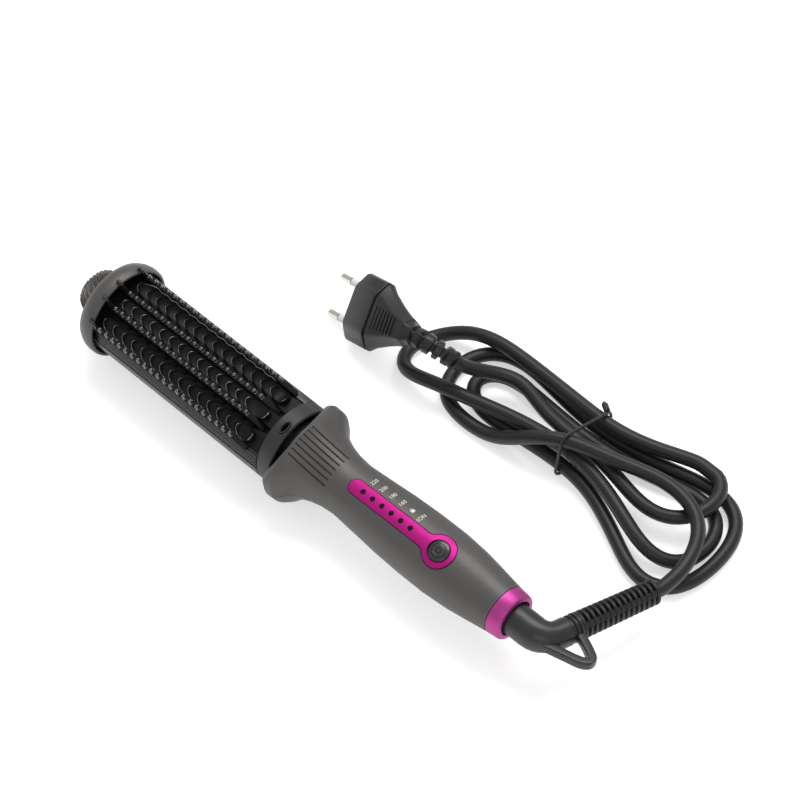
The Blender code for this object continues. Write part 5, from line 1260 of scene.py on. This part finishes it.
def bank_rings(side, fins):
    """The rings of one bank from the cap to the collar, and the lines of the painted highlights on its lip
    edges.
    """
    rail = RAIL_HALF + GAP
    if side:
        near, far = INNER_ROW + rail, OUTER_ROW - rail
        hollows = [BARREL_RADIUS * share for share in SIDE_HOLLOWS]
        ledge, first = BANK_LEDGE, BARREL_X + FIN_START
    else:
        near, far = rail - INNER_ROW, INNER_ROW - rail
        hollows = [BARREL_RADIUS * share for share in MIDDLE_HOLLOWS]
        ledge, first = 0.0, BARREL_X + MIDDLE_FIN_START
    rings, lip_highlights = [], []

    def ring(x, arch, lift, crown):
        points = [Vector((x, near, core_seat(near)))]
        if ledge:
            points.append(Vector((x + max(arch, 0.0), near, hollows[0])))
        for k in range(FIN_ACROSS):
            share = 2.0 * k / (FIN_ACROSS - 1) - 1.0
            along = (share + 1.0) / 2
            bow = 1.0 - math.sqrt(max(0.0, 1.0 - share * share))
            hollow = hollows[0] + (hollows[1] - hollows[0]) * along
            points.append(Vector((x + arch * bow, near + ledge + (far - near - ledge) * along,
                                  hollow + lift + crown * (1.0 - share * share))))
        points.append(Vector((x, far, core_seat(far))))
        rings.append(points)
        # the bright bead on part of this lip is a painted highlight
        if crown == FIN_HEIGHT * LIP_CROWN:
            first_highlit, last_highlit = LIP_HIGHLIGHT_SPANS[side]
            lip = [p + Vector((-LIP_HIGHLIGHT_BEAD * 0.5, 0.0, LIP_HIGHLIGHT_BEAD * 0.3)) for p in points[-FIN_ACROSS - 1:-1]]
            lip_highlights.append(lip[first_highlit:last_highlit])

    ring(HEAD_START_X, 0.0, 0.0, 0.0)
    for k in range(fins):
        for back, lift, crown in SCALE_SHARES:
            ring(first + FIN_PITCH * k + FIN_HEIGHT * back, FIN_ARCH, FIN_HEIGHT * lift, FIN_HEIGHT * crown)
    closing = COLLAR_X - CLOSING_FIN
    for back, lift, crown in reversed(SCALE_SHARES):
        ring(closing - FIN_HEIGHT * back, -FIN_ARCH, FIN_HEIGHT * lift, FIN_HEIGHT * crown)
    ring(HEAD_END_X, 0.0, 0.0, 0.0)
    return rings, lip_highlights


# %% Painted highlights on the edges, and the three banks
# a bright bead along the outer bank's wavy edge is a painted highlight
LEDGE_POINTS = 111
LEDGE_START = 0.0050
LEDGE_STEP = 0.0008
LEDGE_FROM_RAIL = 0.0006
LEDGE_HEIGHT = 0.0161
LEDGE_WAVE = (0.0003, 0.0002)
# place and length of the ledge's run-in beside the cap, and how far it turns in there
LEDGE_RUN_IN = (0.0040, 0.0060)
LEDGE_TURN_IN = 0.0024


def add_bead(bm, line, radius, sides=6):
    """A thin round bead along a line, closed at both ends."""
    last = len(line) - 1
    rings = []
    for k, point in enumerate(line):
        along = way_at(line, k)
        side = along.cross(Vector((0.0, 0.0, 1.0))).normalized()
        thin = radius * (0.35 + 0.65 * ease(min(k, last - k) / 3.0))
        rings.append(round_ring(point, side, side.cross(along), thin, sides))
    bridge(bm, rings)


def ledge_highlight_line():
    """The line of a painted highlight on the wavy edge where the outer legs of the fins run into the outer
    rail.
    """
    place, length = LEDGE_RUN_IN
    aside, up = LEDGE_WAVE
    points = []
    for k in range(LEDGE_POINTS):
        x = BARREL_X + LEDGE_START + LEDGE_STEP * k
        wave = math.cos(2.0 * math.pi * (x - BARREL_X - FIN_START) / FIN_PITCH)
        turn_in = LEDGE_TURN_IN * (1.0 - ease((x - BARREL_X - place) / length))
        y = OUTER_ROW - RAIL_HALF - LEDGE_FROM_RAIL - turn_in - aside * wave
        points.append(Vector((x, y, LEDGE_HEIGHT + up * wave)))
    return points


def make_bank(node, side, fins):
    """One bank's scales and the painted highlights on its lip edges, as two pieces. The first bank mirrors
    the third.
    """
    mirror = Matrix.Scale(-1.0, 4, (0.0, 1.0, 0.0)) if side < 0.0 else Matrix.Identity(4)
    rings, lip_highlights = bank_rings(side, fins)
    scales = lofted(node + "_scales", placed(rings, BRUSH @ mirror), 48.0)
    add_piece(node + "_scales", scales, scale_black, "brush", [node])
    bm = bmesh.new()
    # the outer bank also gets the painted highlight along its wavy edge
    if side > 0.0:
        lip_highlights.append(ledge_highlight_line())
    for line in lip_highlights:
        add_bead(bm, line, LIP_HIGHLIGHT_BEAD)
    bm.transform(BRUSH @ mirror)
    add_piece(node + "_lips", mesh_of(bm, node + "_lips", 60.0), lip_highlight_metal, "brush", [node])


for number, side in enumerate((-1.0, 0.0, 1.0), 1):
    make_bank(f"heater_fins_{number}", side, FINS[number - 1])
print("fins", sum(FINS))

# %% [markdown]
# ## Ridged side walls
# Along each side of the comb field a wall stands on the shell's edge, with four fine ridges lengthwise. Its
# cross section is one outline with four round bumps in a row, drawn out along the barrel.

# %% The side walls
WALL_INNER = 0.0159
WALL_LOW = 0.0033
WALL_RADIUS = 0.0211
WALL_DEGREES = (55.5, 76.5)
WALL_RIDGES = 4
RIDGE_DEPTH = 0.0007
RIDGE_STEPS = 8
WALL_OUTER = 0.0185


def wall_outline():
    """The wall's section: a straight inner side, the ridges and a foot."""
    first, last = WALL_DEGREES
    points = [(WALL_INNER, WALL_LOW), (WALL_INNER, WALL_RADIUS * math.cos(math.radians(first)))]
    steps = WALL_RIDGES * RIDGE_STEPS
    for k in range(steps + 1):
        turn = math.radians(first + (last - first) * k / steps)
        radius = WALL_RADIUS - RIDGE_DEPTH * (1.0 - abs(math.sin(math.pi * k / RIDGE_STEPS)) ** 0.6)
        points.append((radius * math.sin(turn), radius * math.cos(turn)))
    return points + [(WALL_OUTER, WALL_LOW)]


for node, side in (("edge_rail_right", -1.0), ("edge_rail_left", 1.0)):
    rings = [[Vector((x, side * y, z)) for y, z in wall_outline()] for x in (HEAD_START_X, HEAD_END_X)]
    name = node + "_ridges"
    add_piece(name, lofted(name, placed(rings, BRUSH), 50.0), wall_satin, "brush", [node])
print("walls with", WALL_RIDGES, "ridges each")

# %% [markdown]
# ## The cool tip
# The knob at the end stays cool enough to hold. Its flutes wind a little round it, so each ring of the loft
# is turned a few degrees further than the one before.

# %% The fluted knob
KNOB_LENGTH = 0.0137
KNOB_RADIUS = 0.0127
KNOB_STEM_RADIUS = 0.0057
KNOB_STEM_LENGTH = 0.0060
KNOB_SHARES = ((0.0, 0.30), (0.06, 0.60), (0.22, 0.85), (0.50, 0.98), (1.0, 1.0))
KNOB_FLUTES = 26
KNOB_FLUTE_DEPTH = 0.0014
KNOB_TWIST = 38.0
KNOB_RINGS = 15
FLUTE_POINTS = 6
FLUTE_SHARES = (0.0, 0.55, 0.90, 1.0, 0.62, 0.12)


def knob_radius(share):
    """The knob's radius at a share of its length."""
    k = max(i for i in range(len(KNOB_SHARES) - 1) if KNOB_SHARES[i][0] <= min(share, 0.999))
    (x0, r0), (x1, r1) = KNOB_SHARES[k], KNOB_SHARES[k + 1]
    return KNOB_RADIUS * (r0 + (r1 - r0) * (share - x0) / (x1 - x0))


def fluted_ring(x, radius, depth, twist):
    """A ring of the knob. Its depth is that of the flutes, its twist is in degrees."""
    count = KNOB_FLUTES * FLUTE_POINTS
    cuts = [depth * FLUTE_SHARES[k % FLUTE_POINTS] for k in range(count)]
    return [round_axis(x, radius - cut, 360.0 * k / count + twist) for k, cut in enumerate(cuts)]


def knob_rings():
    """Rings from the blunt end back to the stem, which goes into the cap."""
    rings = []
    back = KNOB_LENGTH - GAP
    for k in range(KNOB_RINGS):
        share = (k / (KNOB_RINGS - 1)) ** 1.5
        radius = knob_radius(share)
        depth = KNOB_FLUTE_DEPTH * radius / KNOB_RADIUS
        twist = KNOB_TWIST * (1.0 - share) ** 1.2
        rings.append(fluted_ring(min(KNOB_LENGTH * share, back), radius, depth, twist))
    for x in (back, KNOB_LENGTH + KNOB_STEM_LENGTH):
        rings.append(fluted_ring(x, KNOB_STEM_RADIUS, 0.0, 0.0))
    return placed(rings, BRUSH)


knob_mesh = lofted("cool_tip_fluted", knob_rings(), 38.0)
add_piece("cool_tip_fluted", knob_mesh, handle_lacquer, "brush", ["cool_tip"])
print("flutes", KNOB_FLUTES)

# %% [markdown]
# ## The hanging loop
# The loop under the elbow is a flat strap with a round end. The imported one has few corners, so a smoother
# strap lies over it: the same line through more points, with its edges rounded.

# %% The smooth strap
LOOP_REACH = 0.0410
LOOP_STRAP = 0.0036
LOOP_THICKNESS = 0.0042
LOOP_COVER = 0.0003
LOOP_SOFT = 0.0009
LOOP_SPACING = 0.0007
CORNER_STEPS = 4
LOOP_LINE_SHARES = ((0.38, -0.085), (0.56, -0.028), (0.76, 0.030), (0.90, 0.070), (0.975, 0.115),
                    (1.0, 0.165), (0.975, 0.215), (0.90, 0.262), (0.78, 0.322), (0.665, 0.368))


def strap_outline():
    """The strap's section, a rectangle with round corners, as steps aside and up."""
    wide, thick = LOOP_STRAP / 2 + LOOP_COVER, LOOP_THICKNESS / 2 + LOOP_COVER / 2
    outline = []
    for corner, (y, z) in enumerate(((1.0, 1.0), (-1.0, 1.0), (-1.0, -1.0), (1.0, -1.0))):
        for k in range(CORNER_STEPS + 1):
            turn = math.radians(90.0 * (corner + k / CORNER_STEPS))
            outline.append((y * (wide - LOOP_SOFT) + LOOP_SOFT * math.cos(turn),
                            z * (thick - LOOP_SOFT) + LOOP_SOFT * math.sin(turn)))
    return outline


def loop_rings():
    """Rings along the loop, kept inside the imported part's box."""
    reach = LOOP_REACH - LOOP_STRAP / 2
    chosen = [(reach * along, reach * aside, 0.0) for along, aside in LOOP_LINE_SHARES]
    line = smooth_route(chosen, LOOP_SPACING)
    outline = strap_outline()
    right, left, low = cad_high[0], cad_low[1], cad_low[2]
    rings = []
    for k, point in enumerate(line):
        along = way_at(line, k)
        side = Vector((along.y, -along.x, 0.0))
        ring = [SWIVEL @ (point + side * y + Vector((0.0, 0.0, z))) for y, z in outline]
        rings.append([Vector((min(q.x, right), max(q.y, left), max(q.z, low))) for q in ring])
    return rings


strap_mesh = lofted("hanging_loop_strap", loop_rings(), 50.0)
add_piece("hanging_loop_strap", strap_mesh, satin_plastic, "swivel", ["swivel_elbow"])
print("loop strap", len(strap_mesh.vertices), "points")

# %% [markdown]
# ## Printed figures
# Beside the strip stand the temperatures, a lock and the word for the ion light, printed in pale ink. Flat
# text is bent onto the handle: its height turns into a step along the axis, its width into an angle.

# %% The grip's radius
# place along the grip and swell, as shares
GRIP_SHARES = ((0.0, 0.0), (0.14, 0.22), (0.30, 0.55), (0.50, 0.85), (0.74, 1.0), (0.86, 0.97), (1.0, 0.80))
NECK_X = 0.1784
SHELL_END_X = 0.2735
GRIP_TURN_X = NECK_X + (SHELL_END_X - NECK_X) * 0.72
NECK_RADIUS = 0.0140
GRIP_SWELL = 0.0026


def grip_radius(x):
    """Radius of the grip, from the same shares as the handle's own loft."""
    share = (x - NECK_X) / (GRIP_TURN_X - NECK_X)
    table = GRIP_SHARES
    k = max(i for i in range(len(table) - 1) if table[i][0] <= max(0.0, min(share, 0.999)))
    (x0, y0), (x1, y1) = table[k], table[k + 1]
    slope = (y1 - y0) / (x1 - x0)
    before = slope if k == 0 else (y1 - table[k - 1][1]) / (x1 - table[k - 1][0])
    after = slope if k + 2 >= len(table) else (table[k + 2][1] - y0) / (table[k + 2][0] - x0)
    t = (share - x0) / (x1 - x0)
    value = (y0 * (1 + 2 * t) * (1 - t) ** 2 + y1 * t * t * (3 - 2 * t)
             + (x1 - x0) * (before * t * (1 - t) ** 2 - after * t * t * (1 - t)))
    return NECK_RADIUS + GRIP_SWELL * value


BUTTON_X = 0.2383
print("grip's radius at the button", round(1000 * grip_radius(BUTTON_X), 2), "mm")


# %% Flat print
INK = 0.00003
LABEL_HEIGHT = 0.0030
# half width and half height of the lock, as shares of the figures' height
LOCK_SHARES = (0.34, 0.42)
LOCK_TOP = 0.25
BOW_SHARES = (0.52, 0.82)
BOW_BARS = 8


def text_mesh(word):
    """A word as flat print with its middle at zero."""
    data = bpy.data.curves.new("print_" + word, "FONT")
    data.body = word
    data.size = LABEL_HEIGHT
    data.align_x = "CENTER"
    data.align_y = "CENTER"
    data.extrude = INK
    data.resolution_u = 3
    item = bpy.data.objects.new("print_" + word, data)
    bpy.context.scene.collection.objects.link(item)
    bpy.context.view_layer.update()
    mesh = bpy.data.meshes.new_from_object(item.evaluated_get(bpy.context.evaluated_depsgraph_get()))
    bpy.data.objects.remove(item)
    return mesh


def lock_mesh():
    """A padlock sign: a filled body and a bow of flat bars."""
    bm = bmesh.new()
    half, height = (LABEL_HEIGHT * share for share in LOCK_SHARES)
    top = height * LOCK_TOP
    inner, outer = (half * share for share in BOW_SHARES)
    bars = [((-half, -height), (half, -height), (half, top), (-half, top))]
    for k in range(BOW_BARS):
        a, b = (math.pi * (k + i) / BOW_BARS for i in (0, 1))
        corners = ((outer, a), (outer, b), (inner, b), (inner, a))
        bars.append([(radius * math.cos(turn), top + radius * math.sin(turn)) for radius, turn in corners])
    for bar in bars:
        bm.faces.new([bm.verts.new((x, y, INK)) for x, y in bar])
    mesh = bpy.data.meshes.new("print_lock")
    bm.to_mesh(mesh)
    bm.free()
    return mesh


# %% Figures beside the lights
LIGHT_FROM_BUTTON = 0.0177
LIGHT_PITCH = 0.00608
LABEL_OFFSET = 0.0074
LABELS = ("ION", "lock", "160", "180", "200", "220")


def onto_grip(mesh, x, offset):
    """Bends flat print onto the grip: up in the print is towards the tip, right is away from the strip."""
    for v in mesh.vertices:
        here = x - v.co.y
        radius = grip_radius(here)
        angle = math.degrees((offset + v.co.x) / radius)
        v.co = BRUSH @ round_axis(here, radius + INK + v.co.z, angle)


for k, word in enumerate(LABELS):
    mesh = lock_mesh() if word == "lock" else text_mesh(word)
    onto_grip(mesh, BUTTON_X - LIGHT_FROM_BUTTON - LIGHT_PITCH * k, LABEL_OFFSET)
    add_piece("print_" + word, mesh, print_ink, "brush")
print("labels", len(LABELS))

# %% [markdown]
# ## Gaps and rings at the strip
# A dark joint runs round the strip and round the button, and the button's face has fine rings. Both are
# thin beads half sunk into the surface: a dark one reads as a gap, a glossy one as a turned line.

# %% The strip's joint
STRIP_HALF = 0.0037
STRIP_LENGTH = 0.0565
STRIP_RING_RADIUS = 0.0081
STRIP_NECK_FILLET = 0.0050
STRIP_FIT = 0.00025
BUTTON_RADIUS = 0.0052
BUTTON_JOINT_LIFT = 0.00012
JOINT_BEAD = 0.00020


def strip_outline(grow):
    """A keyhole: a rounded end, straight sides, a fillet and the ring round the button."""
    half, ring, fillet = STRIP_HALF + grow, STRIP_RING_RADIUS + grow, STRIP_NECK_FILLET - grow
    end_x = BUTTON_X - STRIP_LENGTH + STRIP_HALF
    centre_y = half + fillet
    centre_x = BUTTON_X - math.sqrt((ring + fillet) ** 2 - centre_y ** 2)
    lean = math.atan2(centre_y, BUTTON_X - centre_x)
    upper = []
    for k in range(8, -1, -1):
        t = math.pi / 16 * k
        upper.append((end_x - half * math.sin(t), half * math.cos(t)))
    upper += [(end_x + (centre_x - end_x) * k / 20, half) for k in range(1, 20)]
    for k in range(7):
        t = -math.pi / 2 + (math.pi / 2 - lean) * k / 6
        upper.append((centre_x + fillet * math.cos(t), centre_y + fillet * math.sin(t)))
    for k in range(1, 20):
        t = math.pi - lean - (math.pi - lean) * k / 20
        upper.append((BUTTON_X + ring * math.cos(t), ring * math.sin(t)))
    return upper + [(BUTTON_X + ring, 0.0)] + [(x, -y) for x, y in reversed(upper[1:])]


def on_handle(outline, lift):
    """Flat points laid on the round handle and lifted off it."""
    return [BRUSH @ Vector((x, y, math.sqrt((grip_radius(x) + lift) ** 2 - y * y))) for x, y in outline]


def circle(radius, count=48):
    """Flat points round the button's middle."""
    turns = (2.0 * math.pi * k / count for k in range(count))
    return [(BUTTON_X + radius * math.cos(t), radius * math.sin(t)) for t in turns]


def closed_bead(name, points, radius, finish, body):
    """A thin bead that runs back into itself, as a piece of its own."""
    add_piece(name, round_tube(name, points, radius, 2, cyclic=True), finish, body)


strip_edge = on_handle(strip_outline(STRIP_FIT / 2), 0.0)
button_edge = on_handle(circle(BUTTON_RADIUS + STRIP_FIT / 2), BUTTON_JOINT_LIFT)
closed_bead("strip_joint", strip_edge, JOINT_BEAD, shadow_gap, "brush")
closed_bead("button_joint", button_edge, JOINT_BEAD, shadow_gap, "brush")
print("joint round the strip", len(strip_edge), "points")

# %% The button's rings
RING_BEAD = 0.00011
# radius and height over the handle of each ring, and its finish
BUTTON_RINGS = ((0.0014, 0.00042, shadow_gap), (0.0024, 0.00036, tooth_gloss),
                (0.0034, 0.00026, shadow_gap))
for number, (radius, height, finish) in enumerate(BUTTON_RINGS, 1):
    ring = [BRUSH @ Vector((x, y, grip_radius(BUTTON_X) + height)) for x, y in circle(radius)]
    closed_bead(f"button_ring_{number}", ring, RING_BEAD, finish, "button")
print("button rings", len(BUTTON_RINGS))
